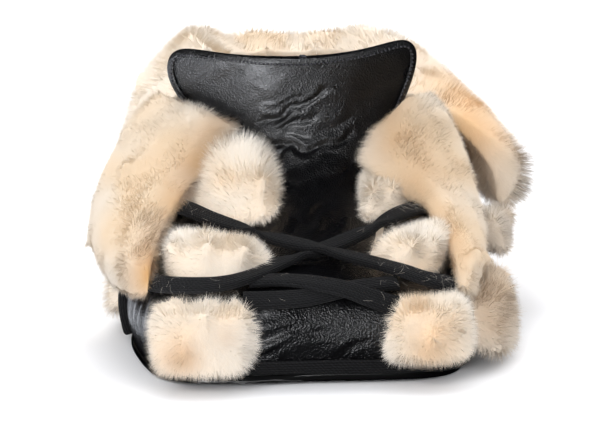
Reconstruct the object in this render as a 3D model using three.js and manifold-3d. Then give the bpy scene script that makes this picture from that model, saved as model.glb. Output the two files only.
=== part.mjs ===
// A low lace-up boot for the left foot: a lasted leather upper with a tall tongue, on a flat
// leather sole, dressed with shearling that a woven tape lace pinches into blocks.
// Millimetres, +Z up, toe towards -Y, outer side of the foot towards +X.

import * as THREE from "three";
import { mergeVertices } from "three/addons/utils/BufferGeometryUtils.js";
import Module from "manifold-3d";

const wasm = await Module();
wasm.setup();

// ---------------------------------------------------------------- driving dimensions

const SOLE_LENGTH = 262;
const SOLE_THICKNESS = 2.5;
const TOE_SPRING = 1.2;
const SPRING_LENGTH = 34;
const GAP = 0.35;
const LEATHER = 2.2;
const MIDLINE_X = 2;
const SHAFT_HALF_WIDTH = 49;
const INSOLE_THICKNESS = 4;
const TONGUE_THICKNESS = 2;
const BINDING_WIDTH = 1.9;
const RAND_HEIGHT = 4.6;
const RAND_THICKNESS = 1.3;
const LACE_WIDTH = 6.2;
const LACE_THICKNESS = 2.4;

// Sole outline, walked from the middle of the toe along the inner side, round the heel and
// back along the outer side. x is across the foot, y runs from the toe to the heel.
const SOLE_OUTLINE = [
  { at: "toe middle", x: 3, y: 4 },
  { at: "inner toe", x: -30, y: 0.4 },
  { at: "inner corner front", x: -40, y: 0.8 },
  { at: "inner corner back", x: -47, y: 7 },
  { at: "inner toe side", x: -55, y: 30 },
  { at: "inner ball", x: -62, y: 64 },
  { at: "inner ball back", x: -60, y: 92 },
  { at: "arch", x: -48, y: 146 },
  { at: "inner heel", x: -40, y: 202 },
  { at: "inner heel turn", x: -26, y: 247 },
  { at: "heel back", x: 3, y: SOLE_LENGTH },
  { at: "outer heel turn", x: 32, y: 247 },
  { at: "outer heel", x: 45, y: 202 },
  { at: "outer waist", x: 51, y: 150 },
  { at: "outer ball back", x: 59, y: 100 },
  { at: "outer ball", x: 61, y: 64 },
  { at: "outer toe side", x: 57, y: 30 },
  { at: "outer corner back", x: 54, y: 17 },
  { at: "outer corner front", x: 47, y: 9.4 },
  { at: "outer toe", x: 36, y: 7 },
];

// Rings of the last, from the feather line up to the collar. Each ring is the sole outline
// drawn in to run from frontY to backY, scaled across by width, and turned by the share
// oval into the oval of the shaft. It climbs from frontZ over the toe to backZ at the heel.
const LAST_RINGS = [
  { at: "feather line", frontY: 1, frontZ: 2.85, backY: 261, backZ: 2.85, width: 0.985, oval: 0 },
  { at: "lower wall", frontY: -1.4, frontZ: 11, backY: 263.5, backZ: 14, width: 1.02, oval: 0 },
  { at: "upper wall", frontY: -0.4, frontZ: 20, backY: 264.5, backZ: 27, width: 1.02, oval: 0 },
  { at: "toe shoulder", frontY: 5, frontZ: 27.6, backY: 265, backZ: 38, width: 0.95, oval: 0.04 },
  { at: "toe top", frontY: 18, frontZ: 32, backY: 264, backZ: 47, width: 0.91, oval: 0.14 },
  { at: "vamp", frontY: 38, frontZ: 36.5, backY: 262, backZ: 55, width: 0.89, oval: 0.34 },
  { at: "throat", frontY: 62, frontZ: 43, backY: 260, backZ: 63, width: 0.88, oval: 0.6 },
  { at: "instep", frontY: 84, frontZ: 53.5, backY: 258, backZ: 71, width: 0.86, oval: 0.86 },
  { at: "ankle", frontY: 97, frontZ: 66, backY: 256.5, backZ: 78, width: 0.8, oval: 1 },
  { at: "shaft", frontY: 103, frontZ: 80, backY: 256, backZ: 86, width: 0.8, oval: 1 },
  { at: "collar", frontY: 105, frontZ: 94, backY: 256, backZ: 94, width: 0.8, oval: 1 },
];

// Throat opening, seen from above: half its outline on each side of the foot.
const THROAT_PLAN = [
  { at: "throat bottom", inner: -4, outer: 14, y: 33 },
  { at: "throat corner", inner: -15, outer: 26, y: 38 },
  { at: "vamp", inner: -22, outer: 30, y: 60 },
  { at: "instep", inner: -27, outer: 32, y: 90 },
  { at: "shaft", inner: -31, outer: 34, y: 122 },
];
const THROAT_BOTTOM = 24;
const ABOVE_BOOT = 130;

// The top edge of the shaft's wall seen from the side, as what is cut away above it. It is
// low in front, where the lapels fold outwards, and the outer side climbs to the heel.
const COLLAR_CUTS = [
  {
    at: "inner side",
    from: -90,
    to: 6,
    edge: [[-20, 74], [137, 74], [137, ABOVE_BOOT], [-20, ABOVE_BOOT]],
  },
  {
    at: "outer side",
    from: 5,
    to: 90,
    edge: [[-20, 72], [137, 72], [140, 76], [190, 78], [230, 94], [230, ABOVE_BOOT], [-20, ABOVE_BOOT]],
  },
];

// ---------------------------------------------------------------- small tools

const vec = (x, y, z) => new THREE.Vector3(x, y, z);
const lerp = THREE.MathUtils.lerp;

// Smooth value between the rows of a table column, at row number s.
function smoothColumn(table, column, s) {
  const last = table.length - 1;
  const i = Math.min(Math.max(Math.floor(s), 0), last - 1);
  const at = (k) => table[Math.min(Math.max(k, 0), last)][column];
  const t = s - i;
  const [a, b, c, d] = [at(i - 1), at(i), at(i + 1), at(i + 2)];
  const slopeB = (c - a) / 2;
  const slopeC = (d - b) / 2;
  const t2 = t * t;
  const t3 = t2 * t;
  return (
    b * (2 * t3 - 3 * t2 + 1) +
    slopeB * (t3 - 2 * t2 + t) +
    c * (3 * t2 - 2 * t3) +
    slopeC * (t3 - t2)
  );
}

// A solid for joining and cutting, from any closed three.js geometry.
function solidFrom(geometry) {
  const bare = geometry.index ? geometry.toNonIndexed() : geometry.clone();
  bare.deleteAttribute("normal");
  bare.deleteAttribute("uv");
  const merged = mergeVertices(bare, 1e-3);
  const mesh = new wasm.Mesh({
    numProp: 3,
    vertProperties: merged.attributes.position.array,
    triVerts: new Uint32Array(merged.index.array),
  });
  return new wasm.Manifold(mesh);
}

function geometryFrom(solid) {
  const mesh = solid.getMesh();
  const geometry = new THREE.BufferGeometry();
  const position = new Float32Array(mesh.numVert * 3);
  for (let i = 0; i < mesh.numVert; i++) {
    position.set(mesh.vertProperties.subarray(i * mesh.numProp, i * mesh.numProp + 3), i * 3);
  }
  geometry.setAttribute("position", new THREE.BufferAttribute(position, 3));
  geometry.setIndex(new THREE.BufferAttribute(new Uint32Array(mesh.triVerts), 1));
  geometry.computeVertexNormals();
  return geometry;
}

// The largest body of a solid, when a cut has left chips behind.
function largestBody(solid) {
  const bodies = solid.decompose();
  return bodies.reduce((best, body) => (body.volume() > best.volume() ? body : best));
}

// Geometry from rows of points. Each row is a closed loop with the same number of points.
// Both ends are closed by a fan about their middle, or by the triangles in cap.
function loftLoops(loops, cap) {
  const around = loops[0].length;
  const points = loops.flat();
  const faces = [];
  for (let row = 0; row < loops.length - 1; row++) {
    for (let k = 0; k < around; k++) {
      const a = row * around + k;
      const b = row * around + ((k + 1) % around);
      faces.push(a, b, b + around, a, b + around, a + around);
    }
  }
  const addCap = (loop, start, flip) => {
    const middle = points.length;
    points.push(loop.reduce((sum, p) => sum.add(p), vec(0, 0, 0)).divideScalar(around));
    for (let k = 0; k < around; k++) {
      const a = start + k;
      const b = start + ((k + 1) % around);
      faces.push(...(flip ? [b, a, middle] : [a, b, middle]));
    }
  };
  const end = (loops.length - 1) * around;
  if (cap) {
    for (const [a, b, c] of cap) faces.push(c, b, a, end + a, end + b, end + c);
  } else {
    addCap(loops[0], 0, true);
    addCap(loops[loops.length - 1], end, false);
  }
  const geometry = new THREE.BufferGeometry().setFromPoints(points);
  geometry.setIndex(faces);
  return geometry;
}

// Cap of a row whose second half runs back beside its first half, as in a sheet.
function stripCap(across) {
  const end = 2 * across + 1;
  return Array.from({ length: across }, (_, k) => [
    [k, k + 1, end - k],
    [k + 1, end - k - 1, end - k],
  ]).flat();
}

// The loft as a solid. Rows that run the other way round would make it inside out, so the
// order of the rows is turned then.
function loftSolid(loops, cap) {
  const solid = solidFrom(loftLoops(loops, cap));
  return solid.volume() < 0 ? solidFrom(loftLoops([...loops].reverse(), cap)) : solid;
}

// Upright prism over a closed outline of [x, y] points.
function prism(outline, bottom, top) {
  const shape = new THREE.Shape(outline.map(([x, y]) => new THREE.Vector2(x, y)));
  const geometry = new THREE.ExtrudeGeometry(shape, { depth: top - bottom, bevelEnabled: false });
  return solidFrom(geometry.translate(0, 0, bottom));
}

// ---------------------------------------------------------------- the last

const outlineCurve = new THREE.CatmullRomCurve3(
  SOLE_OUTLINE.map(({ x, y }) => vec(x, y, 0)),
  true,
  "centripetal",
);
outlineCurve.arcLengthDivisions = 1200;

// Toe spring: the front of the sole and all that stands on it curve up off the floor.
const springAt = (y) => TOE_SPRING * Math.max(0, 1 - y / SPRING_LENGTH) ** 2;

// A point on the last. ring is a row number of LAST_RINGS, with fractions in between, and
// around is the share of the way round: 0 toe, 0.25 inner side, 0.5 heel, 0.75 outer side.
function lastPoint(ring, around) {
  const turn = ((around % 1) + 1) % 1;
  const foot = outlineCurve.getPointAt(turn);
  const row = (column) => smoothColumn(LAST_RINGS, column, ring);
  const [frontY, backY, oval] = [row("frontY"), row("backY"), row("oval")];
  const angle = turn * 2 * Math.PI;
  const middleY = (frontY + backY) / 2;
  const ovalX = MIDLINE_X - SHAFT_HALF_WIDTH * Math.sin(angle);
  const ovalY = middleY - ((backY - frontY) / 2) * Math.cos(angle);
  const footX = MIDLINE_X + (foot.x - MIDLINE_X) * row("width");
  const footY = lerp(frontY, backY, foot.y / SOLE_LENGTH);
  const x = lerp(footX, ovalX, oval);
  const y = lerp(footY, ovalY, oval);
  const along = THREE.MathUtils.clamp((y - frontY) / (backY - frontY), 0, 1);
  const z = lerp(row("frontZ"), row("backZ"), along * along * (3 - 2 * along));
  return vec(x, y, z + springAt(y));
}

// Outward normal of the last.
function lastNormal(ring, around) {
  const step = 0.004;
  const top = LAST_RINGS.length - 1;
  const up = lastPoint(Math.min(ring + 0.1, top), around).sub(
    lastPoint(Math.max(ring - 0.1, 0), around),
  );
  const round = lastPoint(ring, around + step).sub(lastPoint(ring, around - step));
  return round.cross(up).normalize().negate();
}

const onLast = (ring, around, out) =>
  lastPoint(ring, around).addScaledVector(lastNormal(ring, around), out);

// The last as a closed form, grown or shrunk by out, with around points on each of its
// rings. Where it is a cavity, reach lets it run past the feather line and the collar.
function lastForm(out, around, rings, reach) {
  const loops = rings.map((ring, i) =>
    Array.from({ length: around }, (_, k) => {
      const end = i === 0 || i === rings.length - 1;
      const point = onLast(ring, k / around, out);
      return end ? point.setZ(lastPoint(ring, k / around).z) : point;
    }),
  );
  if (reach > 0) {
    loops.unshift(loops[0].map((p) => vec(p.x, p.y, p.z - reach)));
    loops.push(loops[loops.length - 1].map((p) => vec(p.x, p.y, p.z + reach)));
  }
  return loftSolid(loops);
}

// ---------------------------------------------------------------- sole, insole and upper

// The sole outline drawn in by inset, as count points.
function soleLoop(inset, count) {
  const loop = [];
  for (let k = 0; k < count; k++) {
    const point = outlineCurve.getPointAt(k / count);
    const tangent = outlineCurve.getTangentAt(k / count);
    loop.push([point.x + tangent.y * inset, point.y - tangent.x * inset]);
  }
  return loop;
}

function soleLayer(inset, bottom, top, count) {
  const ring = (z) => soleLoop(inset, count).map(([x, y]) => vec(x, y, z + springAt(y)));
  const spine = (z) => ring(z).map((p) => vec(lerp(p.x, MIDLINE_X, 0.5), p.y, z + springAt(p.y)));
  return loftSolid([spine(bottom), ring(bottom), ring(top), spine(top)]);
}

// The throat, open upwards from below the vamp.
function throatPrism() {
  const inner = THROAT_PLAN.map(({ inner: x, y }) => [x, y]);
  const outer = THROAT_PLAN.map(({ outer: x, y }) => [x, y]);
  return prism([...inner, ...outer.reverse()], THROAT_BOTTOM, ABOVE_BOOT);
}

// A prism through the boot from side to side, over a closed outline of [y, z] points.
function sidePrism(edge, from, to) {
  const shape = new THREE.Shape(edge.map(([y, z]) => new THREE.Vector2(y, z)));
  const geometry = new THREE.ExtrudeGeometry(shape, { depth: to - from, bevelEnabled: false });
  const across = new THREE.Matrix4().makeBasis(vec(0, 1, 0), vec(0, 0, 1), vec(1, 0, 0));
  return solidFrom(geometry.applyMatrix4(across).translate(from, 0, 0));
}

// Rings at which the wall of the upper is built, close together over the toe shoulder.
const WALL_RINGS = [0, 0.7, 1.5, 2.2, 2.8, 3.4, 4.1, 5, 6, 7.2, 8.5, 10];
const WALL_SIDES = 44;
const CAVITY_RINGS = [0, 1, 2, 2.8, 3.7, 5, 6.5, 8.2, 10];
const CAVITY_SIDES = 34;
const CAVITY_REACH = 4;
const OUTSOLE_SIDES = 50;
const INSOLE_SIDES = 32;
const INSOLE_INSET = 6;

const cavity = lastForm(-LEATHER, CAVITY_SIDES, CAVITY_RINGS, CAVITY_REACH);
const throughout = cavity.add(throatPrism());
const upper = COLLAR_CUTS.reduce(
  (rest, { edge, from, to }) => rest.subtract(sidePrism(edge, from, to)),
  lastForm(0, WALL_SIDES, WALL_RINGS, 0).subtract(throughout),
);

const outsole = soleLayer(0, 0, SOLE_THICKNESS, OUTSOLE_SIDES);
const insoleBottom = SOLE_THICKNESS + GAP;
const insole = soleLayer(INSOLE_INSET, insoleBottom, insoleBottom + INSOLE_THICKNESS, INSOLE_SIDES);

// ---------------------------------------------------------------- tongue and its binding

// Rows of the tongue, from its foot under the vamp to its flared top. The first rows follow
// a ring of the last, sunk under its surface, between inner and outer across the foot. The
// flare rows stand free at height z: y is their middle and wrap how far their sides turn back.
const TONGUE_ROWS = [
  { at: "under the vamp", ring: 4.25, sink: 2.7, inner: -9, outer: 22 },
  { at: "under the throat edge", ring: 4.75, sink: 2.7, inner: -11, outer: 23 },
  { at: "throat bottom", ring: 5.25, sink: 1.7, inner: -14, outer: 25 },
  { at: "lower vamp", ring: 5.7, sink: 1, inner: -18, outer: 27.5 },
  { at: "vamp", ring: 6.2, sink: 0.8, inner: -21.5, outer: 29 },
  { at: "instep", ring: 6.8, sink: 0.8, inner: -24, outer: 30 },
  { at: "upper instep", ring: 7.4, sink: 0.8, inner: -26, outer: 31 },
  { at: "ankle", z: 66, y: 97.5, wrap: 10, lift: 0, inner: -28, outer: 32 },
  { at: "flare start", z: 73, y: 99, wrap: 11, lift: 0.1, inner: -33.5, outer: 34.5 },
  { at: "lower flare", z: 80, y: 99, wrap: 12, lift: 0.3, inner: -42, outer: 38 },
  { at: "flare", z: 87, y: 98, wrap: 12, lift: 0.6, inner: -48, outer: 41.5 },
  { at: "upper flare", z: 93, y: 97, wrap: 11, lift: 0.85, inner: -50, outer: 43.5 },
  { at: "corner start", z: 97.5, y: 96, wrap: 10, lift: 1, inner: -49.2, outer: 43.4 },
  { at: "corner", z: 99.6, y: 95.6, wrap: 9.5, lift: 1, inner: -46.8, outer: 41.5 },
  { at: "top edge", z: 100.6, y: 95.4, wrap: 9, lift: 1, inner: -43, outer: 38.5 },
];
const TONGUE_COLUMNS = 8;
const TONGUE_LIFT = { inner: 3.2, outer: 6.6 };

// Share of the way round the last at which a ring crosses a given x on the front of the foot.
function aroundAtX(ring, x) {
  const side = x < lastPoint(ring, 0).x ? 1 : -1;
  const step = 0.004;
  for (let turn = 0; turn < 0.3; turn += step) {
    const here = lastPoint(ring, side * turn).x;
    const next = lastPoint(ring, side * (turn + step)).x;
    if ((here - x) * (next - x) <= 0) return side * (turn + (step * (x - here)) / (next - here));
  }
  return side * 0.3;
}

function tonguePoint(row, share) {
  const x = lerp(row.inner, row.outer, share);
  if (row.ring !== undefined) return onLast(row.ring, aroundAtX(row.ring, x), -row.sink);
  const across = 2 * share - 1;
  const lift = row.lift * (across < 0 ? TONGUE_LIFT.inner : TONGUE_LIFT.outer) * across * across;
  return vec(x, row.y + row.wrap * across * across, row.z + lift);
}

// Normal of a grid of points at one of them, from its neighbours.
function gridNormal(grid, i, k) {
  const last = grid.length - 1;
  const end = grid[0].length - 1;
  const up = grid[Math.min(i + 1, last)][k].clone().sub(grid[Math.max(i - 1, 0)][k]);
  const across = grid[i][Math.min(k + 1, end)].clone().sub(grid[i][Math.max(k - 1, 0)]);
  return across.cross(up).normalize();
}

// A curved sheet from a grid of points: its back lies thickness behind its front, and both
// are moved out by grow.
function sheetSolid(grid, thickness, grow) {
  const loops = grid.map((row, i) => {
    const moved = (out) => row.map((p, k) => p.clone().addScaledVector(gridNormal(grid, i, k), out));
    const front = moved(grow);
    const back = moved(-thickness - grow);
    return [...front, ...back.reverse()];
  });
  return loftSolid(loops, stripCap(grid[0].length - 1));
}

function tongueGrid(grow) {
  return TONGUE_ROWS.map((row) => {
    const grown = { ...row, inner: row.inner - grow, outer: row.outer + grow };
    if (row.at === "top edge") grown.z += grow;
    return Array.from({ length: TONGUE_COLUMNS + 1 }, (_, k) =>
      tonguePoint(grown, k / TONGUE_COLUMNS),
    );
  });
}

// A band with a flat six-sided section along a path: thickness lies along out.
const BAND_SIDES = 6;
const BAND_SQUARENESS = 0.6;

function bandSolid(stations, width, thickness) {
  const loops = stations.map(({ point, out }, i) => {
    const next = stations[Math.min(i + 1, stations.length - 1)].point;
    const before = stations[Math.max(i - 1, 0)].point;
    const tangent = next.clone().sub(before).normalize();
    const side = tangent.clone().cross(out).normalize();
    const face = side.clone().cross(tangent).normalize();
    return Array.from({ length: BAND_SIDES }, (_, k) => {
      const angle = (k / BAND_SIDES) * 2 * Math.PI;
      const flat = (value) => Math.sign(value) * Math.abs(value) ** BAND_SQUARENESS;
      return point
        .clone()
        .addScaledVector(side, (width / 2) * flat(Math.cos(angle)))
        .addScaledVector(face, (thickness / 2) * flat(Math.sin(angle)));
    });
  });
  return loftSolid(loops);
}

const BINDING_SLOT = 1.5;
const BINDING_FACE = 2.1;

// Section of the binding, a folded strip: depth runs in from the tongue's edge and face runs
// across its thickness, from the back to the front.
const BINDING_SECTION = [
  { at: "fold back", depth: -1.3, face: -0.9 },
  { at: "back turn", depth: -0.8, face: -BINDING_FACE },
  { at: "back lip", depth: BINDING_WIDTH, face: -BINDING_FACE },
  { at: "back slot", depth: BINDING_WIDTH, face: -BINDING_SLOT },
  { at: "slot floor back", depth: -0.45, face: -BINDING_SLOT },
  { at: "slot floor front", depth: -0.45, face: BINDING_SLOT },
  { at: "front slot", depth: BINDING_WIDTH, face: BINDING_SLOT },
  { at: "front lip", depth: BINDING_WIDTH, face: BINDING_FACE },
  { at: "front turn", depth: -0.8, face: BINDING_FACE },
  { at: "fold front", depth: -1.3, face: 0.9 },
];
const BINDING_START = TONGUE_ROWS.findIndex((row) => row.at === "flare start");

// The binding is folded over the tongue's edge: up one side, over the top and down the other.
function bindingSolid() {
  const grid = tongueGrid(0);
  const top = grid.length - 1;
  const cells = [];
  for (let i = BINDING_START; i < top; i++) cells.push([i, 0]);
  for (let k = 0; k <= TONGUE_COLUMNS; k++) cells.push([top, k]);
  for (let i = top - 1; i >= BINDING_START; i--) cells.push([i, TONGUE_COLUMNS]);
  const normals = cells.map(([i, k]) => gridNormal(grid, i, k));
  const edge = cells.map(([i, k], n) =>
    grid[i][k].clone().addScaledVector(normals[n], -TONGUE_THICKNESS / 2),
  );
  const loops = edge.map((point, n) => {
    const before = edge[Math.max(n - 1, 0)];
    const next = edge[Math.min(n + 1, edge.length - 1)];
    const tangent = next.clone().sub(before).normalize();
    const inward = tangent.clone().cross(normals[n]).normalize();
    return BINDING_SECTION.map(({ depth, face }) =>
      point.clone().addScaledVector(inward, depth).addScaledVector(normals[n], face),
    );
  });
  const flat = BINDING_SECTION.map(({ depth, face }) => new THREE.Vector2(depth, face));
  return loftSolid(loops, THREE.ShapeUtils.triangulateShape(flat, []));
}

const tongue = sheetSolid(tongueGrid(0), TONGUE_THICKNESS, 0);
const tongueRoom = sheetSolid(tongueGrid(GAP), TONGUE_THICKNESS, GAP);
const tongueBinding = bindingSolid().subtract(tongueRoom);

// The space round the binding that the fleece keeps out of.
const bindingEdge = tongueGrid(BINDING_WIDTH).slice(BINDING_START);
const bindingRoom = sheetSolid(bindingEdge, TONGUE_THICKNESS, BINDING_FACE - TONGUE_THICKNESS / 2 + GAP);

// ---------------------------------------------------------------- rand tape and side binding

const SIDE_BINDING_AROUND = 0.172;
const RAND_START = 0.062;
const RAND_STEPS = 40;
const RAND_RING = 0.45;
const RAND_CLEAR = 1.7;
const BAND_CLEAR = 0.9;
const SIDE_BINDING = { bottom: 0.35, top: 2.55, steps: 8, setBack: 0.008 };

// The rand runs from the inner toe corner across the toe and round the outer side and the
// heel to the side binding. It stands on the sole edge, flat against the upper.
function randSolid() {
  const stations = Array.from({ length: RAND_STEPS + 1 }, (_, i) => {
    const around = RAND_START - (i / RAND_STEPS) * (1 + RAND_START - SIDE_BINDING_AROUND);
    const point = onLast(RAND_RING, around, RAND_CLEAR + RAND_THICKNESS / 2);
    point.z = SOLE_THICKNESS + GAP + RAND_HEIGHT / 2 + springAt(point.y);
    const out = lastNormal(RAND_RING, around).setZ(0).normalize();
    return { point, out };
  });
  return bandSolid(stations, RAND_HEIGHT, RAND_THICKNESS);
}

function sideBindingSolid() {
  const { bottom, top, steps, setBack } = SIDE_BINDING;
  const clear = BAND_CLEAR + RAND_THICKNESS / 2;
  const around = SIDE_BINDING_AROUND - setBack;
  const stations = Array.from({ length: steps + 1 }, (_, i) => {
    const ring = lerp(bottom, top, i / steps);
    return { point: onLast(ring, around, clear), out: lastNormal(ring, around) };
  });
  return bandSolid(stations, RAND_HEIGHT, RAND_THICKNESS);
}

// ---------------------------------------------------------------- lace

// Lace bars across the front, from the inner to the outer side of the foot. Each point is a
// ring and a share round the last, and out is its height above the leather.
const LACE_BARS = {
  over: [
    { ring: 5.6, around: 0.15, out: 4.5 },
    { ring: 5.6, around: 0.112, out: 8 },
    { ring: 5.6, around: 0.079, out: 7.4 },
    { ring: 5.4, around: 0.052, out: 6.4 },
    { ring: 5.15, around: 0.025, out: 5.2 },
    { ring: 4.9, around: -0.006, out: 4.2 },
    { ring: 4.45, around: -0.03, out: 4.2 },
    { ring: 3.65, around: -0.053, out: 5.4 },
    { ring: 3.1, around: -0.064, out: 6 },
    { ring: 2.9, around: -0.077, out: 5 },
  ],
  under: [
    { ring: 3, around: 0.1, out: 4 },
    { ring: 3, around: 0.08, out: 5.4 },
    { ring: 3.05, around: 0.06, out: 5.6 },
    { ring: 3.2, around: 0.045, out: 5 },
    { ring: 3.75, around: 0.032, out: 3.6 },
    { ring: 4.45, around: 0.018, out: 2.4 },
    { ring: 5, around: -0.008, out: 2.2 },
    { ring: 5.35, around: -0.031, out: 2.8 },
    { ring: 5.5, around: -0.05, out: 4.8 },
    { ring: 5.75, around: -0.077, out: 6.6 },
    { ring: 5.75, around: -0.11, out: 6.4 },
  ],
  lowOver: [
    { ring: 3.6, around: 0.035, out: 2.4 },
    { ring: 3.55, around: 0.019, out: 3 },
    { ring: 3.35, around: 0.004, out: 3.8 },
    { ring: 3.15, around: -0.006, out: 4.2 },
    { ring: 2.95, around: -0.02, out: 4.2 },
    { ring: 2.75, around: -0.032, out: 3.4 },
    { ring: 2.5, around: -0.045, out: 2.4 },
  ],
  lowUnder: [
    { ring: 2.75, around: 0.035, out: 2.2 },
    { ring: 2.8, around: 0.016, out: 2.2 },
    { ring: 2.85, around: 0.001, out: 2.2 },
    { ring: 3.1, around: -0.016, out: 2.2 },
    { ring: 3.3, around: -0.034, out: 2.2 },
    { ring: 3.4, around: -0.05, out: 2.2 },
  ],
};

const STEPS_PER_POINT = 1.6;

function laceBar(points, grow) {
  const steps = Math.round(STEPS_PER_POINT * (points.length - 1));
  const place = ({ ring, around, out }) => onLast(ring, around, out);
  const curve = new THREE.CatmullRomCurve3(points.map(place), false, "centripetal");
  const stations = Array.from({ length: steps + 1 }, (_, i) => {
    const at = curve.getUtoTmapping(i / steps) * (points.length - 1);
    const out = lastNormal(smoothColumn(points, "ring", at), smoothColumn(points, "around", at));
    return { point: curve.getPointAt(i / steps), out };
  });
  return bandSolid(stations, LACE_WIDTH + 2 * grow, LACE_THICKNESS + 2 * grow);
}

function laceFront(grow) {
  const bars = Object.values(LACE_BARS).map((points) => laceBar(points, grow));
  return bars.reduce((joined, bar) => joined.add(bar));
}

// A lace run round the sides and the heel, between two rows of wool.
const LACE_WRAPS = {
  lower: { ring: 3, from: 0.108, to: 0.892, steps: 32 },
  upper: { ring: 5.6, from: 0.158, to: 0.852, steps: 22 },
};

function laceWrap({ ring, from, to, steps }, grow) {
  const stations = Array.from({ length: steps + 1 }, (_, i) => {
    const around = lerp(from, to, i / steps);
    const point = onLast(ring, around, BAND_CLEAR + LACE_THICKNESS / 2);
    return { point, out: lastNormal(ring, around) };
  });
  return bandSolid(stations, LACE_WIDTH + 2 * grow, LACE_THICKNESS + 2 * grow);
}

// ---------------------------------------------------------------- shearling

const PAD_CLEAR = 1.9;
const PAD_EDGE = 0.8;
const PAD_STEPS = 4;
const TUFT_REACH = 2.6;
const TUFT_RIDGE = 0.1;
const LOCK_LENGTH = 5;
const LOCK_RADIUS = 4;
const LOCK_TIP = 0.9;
const LOCK_ROOT = 2.4;
const FLOOR_CLEAR = 2.2;
const LOCKS_ABOVE = 11;

// A repeatable scatter of shares between 0 and 1.
function scatter(seed) {
  let state = seed;
  return () => {
    state = (state * 16807) % 2147483647;
    return state / 2147483647;
  };
}

// Roundness of a pad across one of its directions: 0 at both edges and 1 in the middle.
const pillow = (share, power) => Math.sqrt(Math.max(0, 1 - Math.abs(2 * share - 1) ** power));

// A lock of wool: a blunt tuft with its root sunk in the fleece.
function lock(root, direction, grow) {
  const length = LOCK_LENGTH + LOCK_ROOT + grow;
  const tuft = new THREE.CylinderGeometry(LOCK_TIP + grow, LOCK_RADIUS + grow, length, 4, 1);
  tuft.translate(0, length / 2 - LOCK_ROOT, 0);
  tuft.applyQuaternion(new THREE.Quaternion().setFromUnitVectors(vec(0, 1, 0), direction));
  return solidFrom(tuft.translate(root.x, root.y, root.z));
}

// Locks on the outside of a fleece, spread over the grid of its outer points and combed.
// There are none near the floor.
function combedLocks(grid, count, seed, comb, grow) {
  const next = scatter(seed);
  const rows = grid.length - 1;
  const columns = grid[0].length - 1;
  const roots = Array.from({ length: count }, (_, n) => {
    const i = 1 + Math.floor(next() * (rows - 1));
    const k = 1 + Math.round(((n + 0.2 + 0.6 * next()) / count) * (columns - 2));
    return { point: grid[i][k], normal: gridNormal(grid, i, k) };
  });
  return roots
    .filter(({ point }) => point.z > LOCKS_ABOVE)
    .map(({ point, normal }) => {
      const towards = comb.clone().addScaledVector(normal, 0.5 * comb.length());
      return lock(point, towards.normalize(), grow);
    });
}

// A grid with its first and last rows and columns moved outwards by reach.
function spread(grid, reach) {
  const last = grid.length - 1;
  const end = grid[0].length - 1;
  return grid.map((row, i) =>
    row.map((point, k) => {
      const inwards = [
        (i === 0 || i === last) && grid[i === 0 ? 1 : last - 1][k],
        (k === 0 || k === end) && row[k === 0 ? 1 : end - 1],
      ].filter(Boolean);
      return inwards.reduce((moved, beside) => {
        return moved.addScaledVector(point.clone().sub(beside).normalize(), reach);
      }, point.clone());
    }),
  );
}

// A fleece as a solid between a grid of outer points and a grid of points behind them. Every
// other column stands proud as a ridge of tufts, and sticks out past the first and last rows.
function fleece(outer, inner, { locks, seed, comb }, grow) {
  const last = outer.length - 1;
  const front = spread(outer, 2 * grow);
  const back = spread(inner, 2 * grow);
  const tufted = front.map((row, i) =>
    row.map((point, k) => {
      const proud = k % 2 ? TUFT_RIDGE : -TUFT_RIDGE / 3;
      const moved = point.clone().lerp(back[i][k], -proud);
      const reach = (i === 0 || i === last) && k % 2 ? TUFT_REACH : 0;
      const beside = front[i === 0 ? 1 : last - 1][k];
      moved.addScaledVector(point.clone().sub(beside).normalize(), reach);
      return moved.setZ(Math.max(moved.z, FLOOR_CLEAR));
    }),
  );
  const loops = tufted.map((row, i) => [...row, ...[...back[i]].reverse()]);
  const body = loftSolid(loops, stripCap(outer[0].length - 1));
  return combedLocks(tufted, locks, seed, comb, grow).reduce((all, one) => all.add(one), body);
}

// A wool pad on the last. Its rows follow rings of the last from one share round to another,
// and it swells to height in its middle. Its lower part hangs down by droop, to the floor.
function lastPad(pad, grow) {
  const { rows, height, droop = 0, columns = 6 } = pad;
  const outer = [];
  const inner = [];
  for (let i = 0; i <= PAD_STEPS; i++) {
    const share = i / PAD_STEPS;
    const at = share * (rows.length - 1);
    const ring = lerp(rows[0].ring, rows[rows.length - 1].ring, share);
    const ends = [smoothColumn(rows, "from", at), smoothColumn(rows, "to", at)];
    outer.push([]);
    inner.push([]);
    for (let k = 0; k <= columns; k++) {
      const around = lerp(ends[0], ends[1], k / columns);
      const puff = pillow(share, 3) * pillow(k / columns, 4);
      const point = onLast(ring, around, PAD_CLEAR + PAD_EDGE + height * puff + grow);
      const hang = point.z - droop * puff * (1 - share);
      outer[i].push(point.setZ(Math.max(hang, Math.min(point.z, FLOOR_CLEAR))));
      inner[i].push(onLast(ring, around, PAD_CLEAR - grow));
    }
  }
  return fleece(outer, inner, pad, grow);
}

const TOE_COMB = vec(0, -0.8, -0.5);
const INNER_COMB = vec(-0.6, -0.5, -0.5);
const OUTER_COMB = vec(0.6, -0.5, -0.5);

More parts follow.
